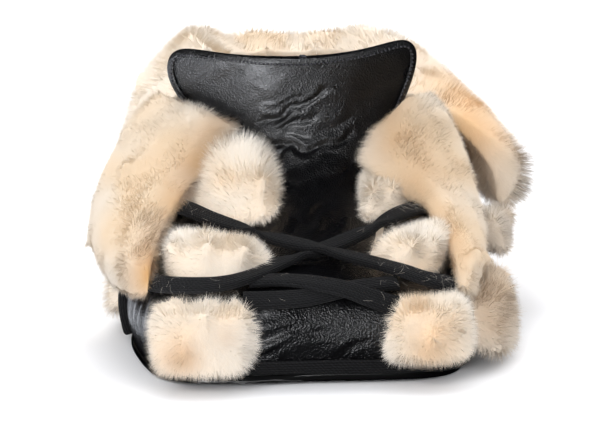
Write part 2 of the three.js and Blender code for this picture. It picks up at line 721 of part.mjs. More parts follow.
// Pads beside the front panel, low, middle and high on each side of the foot, and pads
// round the sides and the heel, below and above the lower lace run.
const PADS = {
  wool_inner_low: {
    rows: [
      { ring: 0.65, from: 0.028, to: 0.074 },
      { ring: 1.8, from: 0.026, to: 0.077 },
      { ring: 2.75, from: 0.03, to: 0.08 },
    ],
    height: 8,
    droop: 9,
    locks: 4,
    seed: 11,
    comb: TOE_COMB,
  },
  wool_inner_mid: {
    rows: [
      { ring: 3.65, from: 0.036, to: 0.086 },
      { ring: 4.3, from: 0.022, to: 0.105 },
      { ring: 4.95, from: 0.036, to: 0.115 },
    ],
    height: 9,
    locks: 4,
    seed: 23,
    comb: TOE_COMB,
  },
  wool_inner_high: {
    rows: [
      { ring: 5.95, from: 0.024, to: 0.104 },
      { ring: 7, from: 0.027, to: 0.114 },
      { ring: 7.9, from: 0.045, to: 0.11 },
    ],
    height: 10,
    locks: 4,
    seed: 31,
    comb: TOE_COMB,
  },
  wool_outer_low: {
    rows: [
      { ring: 0.75, from: -0.039, to: -0.077 },
      { ring: 1.9, from: -0.037, to: -0.079 },
      { ring: 2.75, from: -0.043, to: -0.08 },
    ],
    height: 8,
    droop: 5,
    locks: 4,
    seed: 47,
    comb: TOE_COMB,
  },
  wool_outer_mid: {
    rows: [
      { ring: 3.9, from: -0.052, to: -0.09 },
      { ring: 4.5, from: -0.046, to: -0.104 },
      { ring: 5.15, from: -0.057, to: -0.115 },
    ],
    height: 8,
    locks: 4,
    seed: 53,
    comb: TOE_COMB,
  },
  wool_outer_high: {
    rows: [
      { ring: 6, from: -0.048, to: -0.098 },
      { ring: 6.6, from: -0.056, to: -0.098 },
      { ring: 7.2, from: -0.062, to: -0.09 },
    ],
    height: 8,
    locks: 4,
    seed: 61,
    comb: TOE_COMB,
  },
  wool_inner_side_low: {
    rows: [
      { ring: 0.85, from: 0.171, to: 0.4985 },
      { ring: 1.6, from: 0.171, to: 0.4985 },
      { ring: 2.5, from: 0.172, to: 0.4985 },
    ],
    height: 10,
    droop: 14,
    columns: 13,
    locks: 5,
    seed: 71,
    comb: INNER_COMB,
  },
  wool_inner_side_mid: {
    rows: [
      { ring: 3.55, from: 0.19, to: 0.497 },
      { ring: 4.1, from: 0.19, to: 0.497 },
      { ring: 4.8, from: 0.19, to: 0.497 },
    ],
    height: 4,
    columns: 11,
    locks: 0,
    seed: 83,
    comb: INNER_COMB,
  },
  wool_outer_side_low: {
    rows: [
      { ring: 0.85, from: -0.09, to: -0.19 },
      { ring: 1.7, from: -0.088, to: -0.192 },
      { ring: 2.55, from: -0.092, to: -0.19 },
    ],
    height: 11,
    droop: 14,
    columns: 9,
    locks: 5,
    seed: 97,
    comb: OUTER_COMB,
  },
  wool_outer_heel_low: {
    rows: [
      { ring: 0.85, from: -0.2, to: -0.4985 },
      { ring: 1.6, from: -0.2, to: -0.4985 },
      { ring: 2.4, from: -0.2, to: -0.4985 },
    ],
    height: 11,
    droop: 11,
    columns: 11,
    locks: 4,
    seed: 109,
    comb: OUTER_COMB,
  },
  wool_outer_side_mid: {
    rows: [
      { ring: 3.55, from: -0.165, to: -0.23 },
      { ring: 3.9, from: -0.163, to: -0.235 },
      { ring: 4.3, from: -0.168, to: -0.23 },
    ],
    height: 24,
    droop: 22,
    locks: 4,
    seed: 101,
    comb: OUTER_COMB,
  },
  wool_outer_heel_mid: {
    rows: [
      { ring: 3.55, from: -0.25, to: -0.497 },
      { ring: 4.1, from: -0.25, to: -0.497 },
      { ring: 4.8, from: -0.25, to: -0.497 },
    ],
    height: 4,
    columns: 9,
    locks: 0,
    seed: 103,
    comb: OUTER_COMB,
  },
};

// ---------------------------------------------------------------- cuffs

// A cuff from the grid of its middle surface and half its thickness at each point.
function cuffSolid(grid, half, cuff, grow) {
  const moved = (side) =>
    grid.map((row, i) =>
      row.map((point, k) => {
        return point.clone().addScaledVector(gridNormal(grid, i, k), side * (half[i][k] + grow));
      }),
    );
  return fleece(moved(1), moved(-1), cuff, grow);
}

// A row of a lapel: it runs from the point a to the point b, bowed out by bow.
const lapelRow = (ax, ay, az, bx, by, bz, thick, bow) => ({
  a: vec(ax, ay, az),
  b: vec(bx, by, bz),
  thick,
  bow,
});

// The lapels fold outwards beside the tongue. The columns of a row are: ax ay az, bx by bz,
// thick, bow.
const LAPELS = {
  cuff_inner_front: {
    out: vec(-0.75, -0.65, 0.1),
    locks: 5,
    seed: 113,
    comb: vec(-0.1, -0.4, -0.6),
    rows: [
      lapelRow(-34, 97, 83, -55, 119, 87, 5, 4),
      lapelRow(-24, 95, 76, -62, 120, 79, 12, 7),
      lapelRow(-31, 93, 64, -67, 117, 68, 13, 9),
      lapelRow(-41, 78, 54, -71, 113, 55, 13, 11),
      lapelRow(-47, 54, 46, -72, 106, 44, 13, 12),
      lapelRow(-49, 32, 41, -71, 97, 35, 13, 11),
      lapelRow(-49, 12, 36, -69, 86, 29, 12, 8),
      lapelRow(-50, 5, 29, -67, 74, 22, 6, 4),
    ],
  },
  cuff_outer_front: {
    out: vec(0.6, -0.8, 0.1),
    locks: 4,
    seed: 127,
    comb: vec(0.3, -0.3, -0.5),
    rows: [
      lapelRow(39, 104, 87, 50, 122, 86, 5, 3),
      lapelRow(30, 98, 77, 56, 118, 76, 11, 6),
      lapelRow(22, 85, 65, 62, 110, 64, 12, 7),
      lapelRow(28, 79, 57, 64, 102, 54, 12, 6),
      lapelRow(45, 76, 49, 65, 92, 45, 12, 5),
      lapelRow(51, 50, 42, 64, 74, 38, 12, 4),
      lapelRow(52, 24, 37, 61, 46, 32, 11, 3),
      lapelRow(53, 10, 31, 59, 24, 26, 6, 1),
    ],
  },
};
const LAPEL_COLUMNS = 7;

function lapelSolid({ rows, out, ...tufts }, grow) {
  const share = (k) => k / LAPEL_COLUMNS;
  const columns = Array.from({ length: LAPEL_COLUMNS + 1 }, (_, k) => k);
  const grid = rows.map(({ a, b, bow }) =>
    columns.map((k) => a.clone().lerp(b, share(k)).addScaledVector(out, bow * pillow(share(k), 2))),
  );
  const half = rows.map(({ thick }) =>
    columns.map((k) => (thick / 2) * (0.3 + 0.7 * pillow(share(k), 3))),
  );
  if (gridNormal(grid, 3, 3).dot(out) < 0) [...grid, ...half].forEach((row) => row.reverse());
  return cuffSolid(grid, half, tufts, grow);
}

// A row of a back cuff. Its height z, its distance out from the collar and its thickness are
// each given at the cuff's front end and at the heel.
const cuffRow = (at, frontZ, heelZ, frontOut, heelOut, frontThick, heelThick) => ({
  at,
  frontZ,
  heelZ,
  frontOut,
  heelOut,
  frontThick,
  heelThick,
});

// The back cuffs are folded over the collar. The columns of a row are: at, frontZ heelZ,
// frontOut heelOut, frontThick heelThick.
const COLLAR_CUFFS = {
  cuff_outer_back: {
    from: -0.152,
    to: -0.4995,
    locks: 6,
    seed: 131,
    comb: vec(0.2, 0, -0.8),
    rows: [
      cuffRow("inner hem", 69, 83, -8, -8, 6, 6),
      cuffRow("inside", 78, 94, -10.5, -10.5, 11, 11),
      cuffRow("over the rim", 85.5, 103, -1, -1, 11, 10),
      cuffRow("outside", 81, 97, 10, 9, 16, 11),
      cuffRow("shoulder", 74, 87, 24, 16, 24, 13),
      cuffRow("upper fall", 64, 73, 33, 21, 30, 14),
      cuffRow("lower fall", 54, 57, 38, 23, 30, 14),
      cuffRow("above hem", 46, 45, 38, 20, 22, 11),
      cuffRow("hem", 41, 39, 37, 17, 10, 6),
    ],
  },
  cuff_inner_back: {
    from: 0.152,
    to: 0.4978,
    locks: 6,
    seed: 137,
    comb: vec(-0.2, 0, -0.8),
    rows: [
      cuffRow("inner hem", 84, 83, -8, -8, 6, 6),
      cuffRow("inside", 95, 94, -10.5, -10.5, 11, 11),
      cuffRow("over the rim", 104, 103, -1, -1, 10, 10),
      cuffRow("outside", 95, 97, 6, 9, 10, 10),
      cuffRow("shoulder", 83, 87, 12, 16, 12, 12),
      cuffRow("upper fall", 70, 73, 21, 20, 14, 14),
      cuffRow("lower fall", 55, 57, 27, 22, 14, 14),
      cuffRow("above hem", 45, 45, 26, 19, 11, 11),
      cuffRow("hem", 39, 39, 24, 16, 6, 6),
    ],
  },
};
const COLLAR_COLUMNS = 10;
const COLLAR_LUMP = 2;
const LUMPY_ROWS = [2, 4];
const FRONT_FALLOFF = 4;
const CLIMB = { start: 0.3, end: 0.65 };
const END_THIN = 0.35;

function collarCuff({ rows, from, to, ...tufts }, grow) {
  const collar = LAST_RINGS.length - 1;
  const next = scatter(tufts.seed);
  const lumps = Array.from({ length: COLLAR_COLUMNS + 1 }, () => COLLAR_LUMP * (next() - 0.4));
  const share = (k) => k / COLLAR_COLUMNS;
  const toFront = (k) => (1 - share(k)) ** FRONT_FALLOFF;
  const grid = rows.map((row, i) =>
    lumps.map((lump, k) => {
      const around = lerp(from, to, share(k));
      const out = lastNormal(collar, around).setZ(0).normalize();
      const distance = lerp(row.heelOut, row.frontOut, toFront(k));
      const climb = THREE.MathUtils.smoothstep(share(k), CLIMB.start, CLIMB.end);
      const lumpy = i >= LUMPY_ROWS[0] && i <= LUMPY_ROWS[1];
      const height = lerp(row.frontZ, row.heelZ, climb) + (lumpy ? lump : 0);
      return lastPoint(collar, around).addScaledVector(out, distance).setZ(height);
    }),
  );
  const thin = (k) => (share(k) < 0.5 ? END_THIN + (1 - END_THIN) * pillow(share(k), 3) : 1);
  const half = rows.map(({ frontThick, heelThick }) =>
    lumps.map((_, k) => (thin(k) * lerp(heelThick, frontThick, toFront(k))) / 2),
  );
  const rim = LUMPY_ROWS[0];
  if (gridNormal(grid, rim, 3).z < 0) [...grid, ...half].forEach((row) => row.reverse());
  return cuffSolid(grid, half, tufts, grow);
}

// ---------------------------------------------------------------- assembly

const leather = new THREE.MeshStandardMaterial({ color: 0x17171a, roughness: 0.42 });
const soleLeather = new THREE.MeshStandardMaterial({ color: 0x131315, roughness: 0.5 });
const tape = new THREE.MeshStandardMaterial({ color: 0x101012, roughness: 0.9 });
const wool = new THREE.MeshStandardMaterial({ color: 0xf1e3ce, roughness: 0.95 });

const boot = new THREE.Group();

function addPart(name, solid, material) {
  const mesh = new THREE.Mesh(geometryFrom(solid), material);
  mesh.name = name;
  boot.add(mesh);
}

addPart("outsole", outsole, soleLeather);
addPart("insole", insole, wool);
addPart("upper", upper, leather);
addPart("tongue", tongue, leather);
addPart("tongue_binding", tongueBinding, leather);

// Each soft layer is cut back from the ones under it, so that neighbours stay GAP apart.
const laid = [tongueRoom, bindingRoom];

const touches = (a, b) => a.intersect(b).volume() > 0;

function layOver(name, make, material) {
  const own = make(0);
  const met = laid.filter((under) => touches(own, under));
  const solid = met.reduce((rest, under) => rest.subtract(under), own);
  addPart(name, largestBody(solid), material);
  laid.push(make(GAP));
}

layOver("rand_tape", randSolid, tape);
layOver("side_binding", sideBindingSolid, tape);
layOver("lace_front", laceFront, tape);
layOver("lace_wrap_low", (grow) => laceWrap(LACE_WRAPS.lower, grow), tape);
layOver("lace_wrap_high", (grow) => laceWrap(LACE_WRAPS.upper, grow), tape);
for (const [name, cuff] of Object.entries(COLLAR_CUFFS)) {
  layOver(name, (grow) => collarCuff(cuff, grow), wool);
}
for (const [name, lapel] of Object.entries(LAPELS)) {
  layOver(name, (grow) => lapelSolid(lapel, grow), wool);
}
for (const [name, pad] of Object.entries(PADS)) {
  layOver(name, (grow) => lastPad(pad, grow), wool);
}

// The frame's origin is the middle of the bottom of the whole boot.
const bounds = new THREE.Box3().setFromObject(boot);
const middle = bounds.getCenter(vec(0, 0, 0));
boot.position.set(-middle.x, -middle.y, -bounds.min.z);

const group = new THREE.Group();
group.add(boot);

export default group;
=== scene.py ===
"""Dresses a low lace-up boot of black leather and cream shearling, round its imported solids.

Sizes and places are millimetres in the shoe's own axes: x across the foot from its midline,
with the inner side negative, y from the toe back to the heel, and z up from the floor.
"""

import math
from collections import namedtuple

import bmesh
import bpy
import numpy as np
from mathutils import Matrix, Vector, kdtree, noise
from mathutils.bvhtree import BVHTree


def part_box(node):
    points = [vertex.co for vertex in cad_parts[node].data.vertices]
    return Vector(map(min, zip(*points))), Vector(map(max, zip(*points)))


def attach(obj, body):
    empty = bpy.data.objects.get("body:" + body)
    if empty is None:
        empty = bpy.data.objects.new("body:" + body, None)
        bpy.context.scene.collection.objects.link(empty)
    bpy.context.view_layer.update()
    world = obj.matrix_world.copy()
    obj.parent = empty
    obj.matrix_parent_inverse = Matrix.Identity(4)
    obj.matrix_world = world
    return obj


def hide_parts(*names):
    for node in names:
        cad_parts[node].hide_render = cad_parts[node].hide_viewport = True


bl_info = {
    "name": "Shearling Lace-up Boot",
    "version": (1, 0, 0),
    "blender": (4, 5, 0),
    "location": "View3D > Sidebar > Boot",
    "description": "Dresses the boot's solids in leather, woven tape and shearling",
    "category": "Object",
}

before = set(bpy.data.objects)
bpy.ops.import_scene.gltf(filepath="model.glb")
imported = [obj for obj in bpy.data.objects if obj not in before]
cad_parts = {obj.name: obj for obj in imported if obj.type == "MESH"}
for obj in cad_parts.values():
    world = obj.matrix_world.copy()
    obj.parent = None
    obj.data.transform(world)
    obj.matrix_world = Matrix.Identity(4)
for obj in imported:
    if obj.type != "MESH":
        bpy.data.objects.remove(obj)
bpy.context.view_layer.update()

# ---------------------------------------------------------------- sizes and places

MM = 0.001
SOLE_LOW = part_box("outsole")[0]
INNER_REACH = 62.2  # from the midline out to the sole's inner edge
TOE_REACH = 0.4  # from the toe line back to the sole's front edge
SHOE_ORIGIN = np.array([SOLE_LOW.x + INNER_REACH * MM, SOLE_LOW.y - TOE_REACH * MM, 0.0])


def place(x, y, z):
    """A point of the shoe in the frame's metres."""
    return Vector(SHOE_ORIGIN + np.array([x, y, z]) * MM)


def to_shoe(points):
    """Frame metres back to the shoe's millimetres."""
    return (points - SHOE_ORIGIN) / MM


# ---------------------------------------------------------------- meshes

WELD = 1e-6
JOIN_ANGLE = math.radians(60)
SHARP_ANGLE = math.radians(48)


def link(name, mesh):
    made = bpy.data.objects.new(name, mesh)
    bpy.context.scene.collection.objects.link(made)
    return made


def shade_smooth(mesh):
    mesh.polygons.foreach_set("use_smooth", np.ones(len(mesh.polygons), bool))


def baked(piece):
    """The piece with its modifiers applied and its faces shaded smooth."""
    depsgraph = bpy.context.evaluated_depsgraph_get()
    mesh = bpy.data.meshes.new_from_object(piece.evaluated_get(depsgraph))
    piece.modifiers.clear()
    piece.data = mesh
    shade_smooth(mesh)
    return piece


def welded(node):
    """A node's own faces as an editable mesh with shared corners."""
    faces = bmesh.new()
    faces.from_mesh(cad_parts[node].data)
    bmesh.ops.remove_doubles(faces, verts=faces.verts, dist=WELD)
    return faces


def mesh_of(name, faces):
    """A mesh with the faces of an editable mesh, which is freed."""
    mesh = bpy.data.meshes.new(name)
    faces.to_mesh(mesh)
    faces.free()
    return mesh


def smooth_copy(node, name, levels, hold, finer=None):
    """A smooth piece on a node's faces: joined back into quads and subdivided, edges held.

    finer is a box in the shoe's own sizes; the faces inside it are divided once more.
    """
    faces = welded(node)
    bmesh.ops.join_triangles(
        faces, faces=faces.faces, angle_face_threshold=JOIN_ANGLE, angle_shape_threshold=JOIN_ANGLE
    )
    held = faces.edges.layers.float.new("crease_edge")
    for edge in faces.edges:
        if edge.calc_face_angle(0) > SHARP_ANGLE:
            edge[held] = hold
    piece = link(name, mesh_of(name, faces))
    piece.modifiers.new("smooth", "SUBSURF").levels = levels
    baked(piece)
    if finer is not None:
        divide(piece, finer)
    return piece


def divide(piece, box):
    """Divides the faces inside a box once more."""
    low, high = np.array(box, float)
    faces = bmesh.new()
    faces.from_mesh(piece.data)
    shoe = to_shoe(np.array([f.calc_center_median() for f in faces.faces]))
    inside = np.all((shoe > low) & (shoe < high), axis=1)
    edges = {e for face, near in zip(faces.faces, inside) if near for e in face.edges}
    edges = sorted(edges, key=lambda edge: edge.index)
    bmesh.ops.subdivide_edges(faces, edges=edges, cuts=1, use_grid_fill=True, smooth=0.0)
    faces.to_mesh(piece.data)
    faces.free()
    piece.data.update()


def corners(mesh, fact="co"):
    """Each corner's place, or another fact of three numbers."""
    found = np.empty(len(mesh.vertices) * 3)
    mesh.vertices.foreach_get(fact, found)
    return found.reshape(-1, 3)


def move_corners(mesh, places):
    mesh.vertices.foreach_set("co", places.ravel())
    mesh.update()


def unit(vectors):
    return vectors / np.maximum(np.linalg.norm(vectors, axis=-1, keepdims=True), 1e-9)


def reached(line):
    """How far along a line each of its points is."""
    return np.concatenate([[0], np.cumsum(np.linalg.norm(np.diff(line, axis=0), axis=1))])


def nearness(shoe, middle, radius):
    """How near each place is to a spot: 1 in its middle, fading outwards."""
    away = np.linalg.norm(shoe - middle, axis=1, keepdims=True) / radius
    return np.exp(-(away**2))


def mesh_from(name, places, faces):
    mesh = bpy.data.meshes.new(name)
    mesh.from_pydata(places, [], faces)
    return mesh


def tree_of(*names):
    """A search tree over the faces of the pieces with these names."""
    places, faces = [], []
    for name in names:
        piece = bpy.data.objects.get(name)
        if piece is None:
            raise RuntimeError(f"{name} has to be made first")
        first = len(places)
        places.extend(v.co for v in piece.data.vertices)
        faces.extend([first + i for i in f.vertices] for f in piece.data.polygons)
    return BVHTree.FromPolygons(places, faces)


# Which of x, y and z a fold's two columns are on each side, and which way that side looks.
FACING = {
    "front": (0, 2, Vector((0, -1, 0.25))),
    "inner": (1, 2, Vector((-1, 0, 0))),
    "outer": (1, 2, Vector((1, 0, 0))),
}
WAVER, WAVER_PITCH = 0.9, 9
CROSS_PITCH = 1.3  # pitch of the waver the other way, as a share
FACING_GAIN = 1.6  # a face takes the whole fold where it looks that way by more than 1 over this
END_FADE = 0.55  # how much lower a fold is at its ends
LIP_OUT = 1.9  # from a fold's middle out to its lips, in widths


def press(piece, folds, facing):
    """Presses folds into the faces that look the given way.

    Each runs from one end to the other as a soft ridge, or as a trough where rise is negative,
    and lip is how far a trough's edges stand up beside it.
    """
    across, up, direction = FACING[facing]
    mesh = piece.data
    places, normals = corners(mesh), corners(mesh, "normal")
    shoe = to_shoe(places)
    flat = np.stack([shoe[:, across], shoe[:, up]], axis=1)
    flat[:, 0] += WAVER * np.sin(flat[:, 1] * 2 * math.pi / WAVER_PITCH)
    flat[:, 1] += WAVER * np.sin(flat[:, 0] * 2 * math.pi / (CROSS_PITCH * WAVER_PITCH))
    weight = np.clip(normals @ np.array(direction.normalized()) * FACING_GAIN, 0, 1)
    rise = np.zeros(len(flat))
    for *ends, width, height, lip in folds:
        start, end = np.array(ends, float).reshape(2, 2)
        run = end - start
        share = np.clip((flat - start) @ run / (run @ run), 0, 1)
        away = np.linalg.norm(flat - start - share[:, None] * run, axis=1) / width
        fade = 1 - END_FADE * np.abs(2 * share - 1) ** 3
        rise += fade * height * np.exp(-(away**2))
        rise += fade * lip * np.exp(-((away - LIP_OUT) ** 2))
    move_corners(mesh, places + normals * (rise * weight * MM)[:, None])


def sweep(name, stations, outs, section):
    """A band along stations. section is a list of (across, out) points in millimetres."""
    count, ring = len(stations), len(section)
    tangents = unit(np.gradient(stations, axis=0))
    sides = unit(np.cross(tangents, outs))
    faces_out = unit(np.cross(sides, tangents))
    across, out = np.array(section).T[:, None, :, None]
    places = stations[:, None] + (sides[:, None] * across + faces_out[:, None] * out) * MM
    quads = [
        (i * ring + k, i * ring + (k + 1) % ring, (i + 1) * ring + (k + 1) % ring, (i + 1) * ring + k)
        for i in range(count - 1)
        for k in range(ring)
    ]
    quads += [tuple(range(ring))[::-1], tuple((count - 1) * ring + k for k in range(ring))]
    mesh = mesh_from(name, places.reshape(-1, 3), quads)
    length = reached(stations) / MM
    turn = np.cumsum([0] + [math.dist(section[k], section[(k + 1) % ring]) for k in range(ring)])
    weave = mesh.uv_layers.new(name="weave_mm")
    for face in mesh.polygons:
        for loop, corner in zip(face.loop_indices, face.vertices):
            i, k = divmod(corner, ring)
            seam = len(face.vertices) == 4 and k == 0 and ring - 1 in {c % ring for c in face.vertices}
            weave.uv[loop].vector = (length[i], turn[ring if seam else k])
    shade_smooth(mesh)
    return link(name, mesh)


def curve_through(points, step):
    """A smooth line through points, with a station about every step millimetres."""
    points = np.array(points, float)
    padded = np.vstack([2 * points[0] - points[1], points, 2 * points[-1] - points[-2]])
    line = []
    for i in range(1, len(padded) - 2):
        a, b, c, d = padded[i - 1 : i + 3]
        count = max(2, int(np.linalg.norm(c - b) / step))
        for t in np.arange(count) / count:
            line.append(
                0.5 * (2 * b + (c - a) * t + (2 * a - 5 * b + 4 * c - d) * t**2)
                + 0.5 * (3 * b - a - 3 * c + d) * t**3
            )
    return np.array(line + [points[-1]])


# ---------------------------------------------------------------- materials

def linear(hex_colour):
    """A hex colour as screens show it, as the linear colour that shaders take."""
    shares = [int(hex_colour[i : i + 2], 16) / 255 for i in (1, 3, 5)]
    return [*(s / 12.92 if s <= 0.04045 else ((s + 0.055) / 1.055) ** 2.4 for s in shares), 1.0]


class Finish:
    """A material while its nodes are put together. A link is a (node, output) pair."""

    def __init__(self, name):
        self.material = bpy.data.materials.new(name)
        self.material.use_nodes = True
        self.tree = self.material.node_tree
        self.tree.nodes.clear()

    def node(self, kind, inputs=None, **settings):
        """Adds a node. An input is a value or a link."""
        made = self.tree.nodes.new("ShaderNode" + kind)
        for name, value in settings.items():
            setattr(made, name, value)
        for socket, value in (inputs or {}).items():
            if isinstance(value, tuple) and isinstance(value[0], bpy.types.Node):
                self.tree.links.new(value[0].outputs[value[1]], made.inputs[socket])
            else:
                made.inputs[socket].default_value = value
        return made

    def noise(self, where, scale, detail, **more):
        return self.node("TexNoise", {"Vector": where, "Scale": scale, "Detail": detail, **more}), "Fac"

    def bump(self, height, strength, depth, **more):
        """Bump of a depth in millimetres."""
        return self.node("Bump", {"Height": height, "Strength": strength, "Distance": depth * MM, **more}), 0

    def spread(self, value, start, end, low=0.0, high=1.0):
        """A value's range from start to end, moved to low and high."""
        ends = {"From Min": start, "From Max": end, "To Min": low, "To Max": high}
        return self.node("MapRange", {"Value": value, **ends}), 0

    def blend(self, share, below, above):
        return self.node("Mix", {0: share, 6: below, 7: above}, data_type="RGBA"), 2

    def surface(self, **inputs):
        """Ends the material in a shader. An input is named with _ for each space."""
        inputs = {name.replace("_", " "): value for name, value in inputs.items()}
        self.node("OutputMaterial", {"Surface": (self.node("BsdfPrincipled", inputs), 0)})
        return self.material


def wear(piece, material):
    piece.data.materials.clear()
    piece.data.materials.append(material)


GRAIN = 0.62  # a pebble of the leather's grain, across
PORE = 0.3
PORE_SHARE = 0.4  # of the pores in the grain's height
CRINKLE = 3.4  # pitch of the fine crinkles that run across the shaft
CRINKLE_TURN, CRINKLE_DRAWN = (0, -0.35, 0), (0.4, 0.7, 1.5)
HIDE_BLACK, HIDE_WORN = "#040405", "#0B0B0E"


def pebbled_leather(look):
    """Drum-dyed calf with a pressed grain: pebbles and crinkles break its gloss into small lights."""
    calf = Finish("drum_dyed_pebbled_calf")
    spot = calf.node("TexCoord"), "Object"
    pebble = {"Vector": spot, "Scale": 1 / look.grain, "Smoothness": 0.5}
    pebbles = calf.node("TexVoronoi", pebble, feature="SMOOTH_F1")
    pores = calf.noise(spot, 1 / (PORE * MM), detail=2.0)
    drawn = calf.node("Mapping", {"Vector": spot, "Rotation": CRINKLE_TURN, "Scale": CRINKLE_DRAWN})
    crinkles = calf.noise((drawn, 0), 1 / (CRINKLE * MM), detail=4.0, Distortion=0.8)
    patches = calf.noise(spot, scale=60.0, detail=3.0)
    heights = {0: pores, 1: PORE_SHARE, 2: (pebbles, "Distance")}
    grain = calf.node("Math", heights, operation="MULTIPLY_ADD")
    fine = calf.bump((grain, 0), strength=0.8, depth=0.3)
    return calf.surface(
        Base_Color=calf.blend(patches, (*look.hide, 1), (*look.worn_hide, 1)),
        Roughness=calf.spread(patches, 0.3, 0.7, low=0.24, high=0.37),
        Normal=calf.bump(crinkles, strength=0.06, depth=0.9, Normal=fine),
        Coat_Weight=0.15,
        Coat_Roughness=0.2,
    )


def sole_edge():
    """Inked and burnished leather: the smoothest black of the boot, with thin bright glints."""
    sole = Finish("burnished_sole_leather")
    fibres = sole.noise((sole.node("TexCoord"), "Object"), scale=900.0, detail=3.0)
    fine = sole.bump(fibres, strength=0.2, depth=0.15)
    ink = linear("#060607")
    return sole.surface(
        Base_Color=ink, Roughness=0.3, Normal=fine, Coat_Weight=0.3, Coat_Roughness=0.18
    )


# The second tape colour is a painted highlight: the grey that light gives the crown of each rib.
TAPE_BLACK, TAPE_CROWN_HIGHLIGHT = "#040405", "#19191B"
RIB = 0.95  # pitch of the ribs that run along the tape
PICK = 0.75  # pitch of the picks that cross it
PICK_SHARE = 0.6  # of the picks in the weave's height
BANDS = 3.18  # bands to a unit of length that a wave texture makes at scale 1


def woven_tape(look):
    """Cotton tape woven with ribs: matt black, with a painted grey highlight on the crown of each rib."""
    tape = Finish("ribbed_cotton_tape")
    weave = tape.node("UVMap", uv_map="weave_mm"), 0
    rib = {"Vector": weave, "Scale": 1 / RIB / BANDS, "Distortion": 1.2, "Detail": 1.0, "Detail Scale": 2.0}
    ribs = tape.node("TexWave", rib, bands_direction="Y")
    pick = {"Vector": weave, "Scale": 1 / PICK / BANDS, "Distortion": 2.0, "Detail": 1.0}
    picks = tape.node("TexWave", pick, bands_direction="DIAGONAL")
    heights = {0: (picks, "Fac"), 1: PICK_SHARE, 2: (ribs, "Fac")}
    cloth = tape.node("Math", heights, operation="MULTIPLY_ADD"), 0
    # The colour grows lighter with the weave's height: a painted highlight on the rib crowns.
    light = tape.spread(cloth, 0.2, 1.5)
    return tape.surface(
        Base_Color=tape.blend(light, (*look.tape, 1), (*look.tape_crown_highlight, 1)),
        Roughness=0.88,
        Normal=tape.bump(cloth, strength=0.7, depth=0.3),
        Specular_IOR_Level=0.2,
        Sheen_Weight=0.04,
        Sheen_Roughness=0.5,
    )


def thread():
    """Waxed linen thread: black with a small sharp light on every stitch."""
    return Finish("waxed_thread").surface(Base_Color=linear("#34343A"), Roughness=0.38)


FIBRE = 0.45  # a lock of fibres, across
FIBRE_RUN = 3.0  # and along the way it is combed
# The roots are warmer than the tips, and darker as painted shade down among the hairs.
WOOL_TIP, WOOL_SHADED_ROOT = "#FBF5EC", "#F5E8D6"
# Peach and ochre are the fleece's own patches and also painted shade where it lies in shadow; grey is
# painted shade.
WOOL_PEACH_AND_SHADE, WOOL_OCHRE_AND_SHADE, WOOL_SHADE_GREY = "#F8E2C4", "#E2B377", "#CDBFAE"
FACTS = ("along", "peach", "ochre", "grey", "tint")  # what a fleece's corners say of their colour


def shearling_wool(look):
    """Combed and clipped lambswool: pale tips over warmer roots darkened as painted shade, peach and ochre
    patches, and painted shade in grey, ochre and peach.
    """
    wool = Finish("combed_lambswool")
    facts = {name: (wool.node("Attribute", attribute_name=name), "Fac") for name in FACTS}
    # Starts from the roots' colour, darkened as painted shade, then blends in tips, patches and painted
    # shade.
    colour = (*look.wool_shaded_root, 1)
    for fact, shade in zip(FACTS, (look.wool_tip, look.wool_peach_and_shade, look.wool_ochre_and_shade, look.wool_shade_grey)):
        colour = wool.blend(facts[fact], colour, (*shade, 1))
    spot = wool.node("TexCoord"), "Object"
    drawn = wool.node("Mapping", {"Vector": spot, "Scale": (1, 1, FIBRE / FIBRE_RUN)})
    fibres = wool.noise((drawn, 0), 1 / (FIBRE * MM), detail=2.0)
    streaks = wool.spread(fibres, 0.0, 1.0, low=0.92, high=0.99)
    worth = wool.node("Math", {0: streaks, 1: facts["tint"]}, operation="MULTIPLY")
    toned = wool.node("HueSaturation", {"Color": colour, "Value": (worth, 0)})
    return wool.surface(
        Base_Color=(toned, 0),
        Roughness=0.85,
        Specular_IOR_Level=0.1,
        Sheen_Weight=0.2,
        Sheen_Roughness=0.4,
    )


# ---------------------------------------------------------------- leather pieces

# Boxes of finer faces.
TOE_BOX = ((-72, -5, 3), (40, 60, 40))
CREASED_BOX = ((-34, -20, 20), (36, 120, 100))

# Folds, as each side sees them: both ends, width, rise and lip.
TOE_FOLDS = [
    (-9, 2, -9, 27, 13, 1.7, 0), (-15, 14, -9, 18, 1.35, -0.72, 0.25),
    (-9, 18, 2, 18.5, 1.26, -0.79, 0.25), (2, 18.5, 12, 16, 1.26, -0.65, 0.2),
    (-15, 9, -7, 14, 1.17, -0.65, 0.25), (-7, 14, -2, 15, 1.08, -0.43, 0.15),
    (-13, 22, -6, 24, 1.08, -0.36, 0.15), (12, 8, 17, 12.5, 1.35, -0.65, 0.2),
    (17, 12.5, 22, 13.5, 1.17, -0.5, 0.15), (2, 26, 13, 28, 2.34, 0.65, 0),
    (-14, 25, -5, 29, 3.6, 0.86, 0), (-13, 11, -8, 16, 1.44, 0.5, 0),
]
INNER_FOLDS = [
    (50, 27, 44, 6, 2, -0.6, 0.3), (42, 27, 33, 5, 1.8, -0.7, 0.4), (34, 27, 24, 5, 1.8, -0.6, 0.4),
    (26, 26, 17, 5, 2, -0.6, 0.3), (60, 6, 64, 26, 3, -0.9, 0.4), (76, 4, 79, 28, 4, -0.9, 0.4),
    (96, 5, 95, 30, 3.4, -0.8, 0.4), (118, 5, 122, 30, 4, -0.9, 0.4), (150, 6, 146, 32, 4, -0.9, 0.4),
]
OUTER_FOLDS = [
    (70, 8, 76, 24, 3, -0.8, 0.3), (118, 8, 112, 28, 4, -0.9, 0.4), (160, 8, 168, 30, 4, -0.9, 0.4),
]
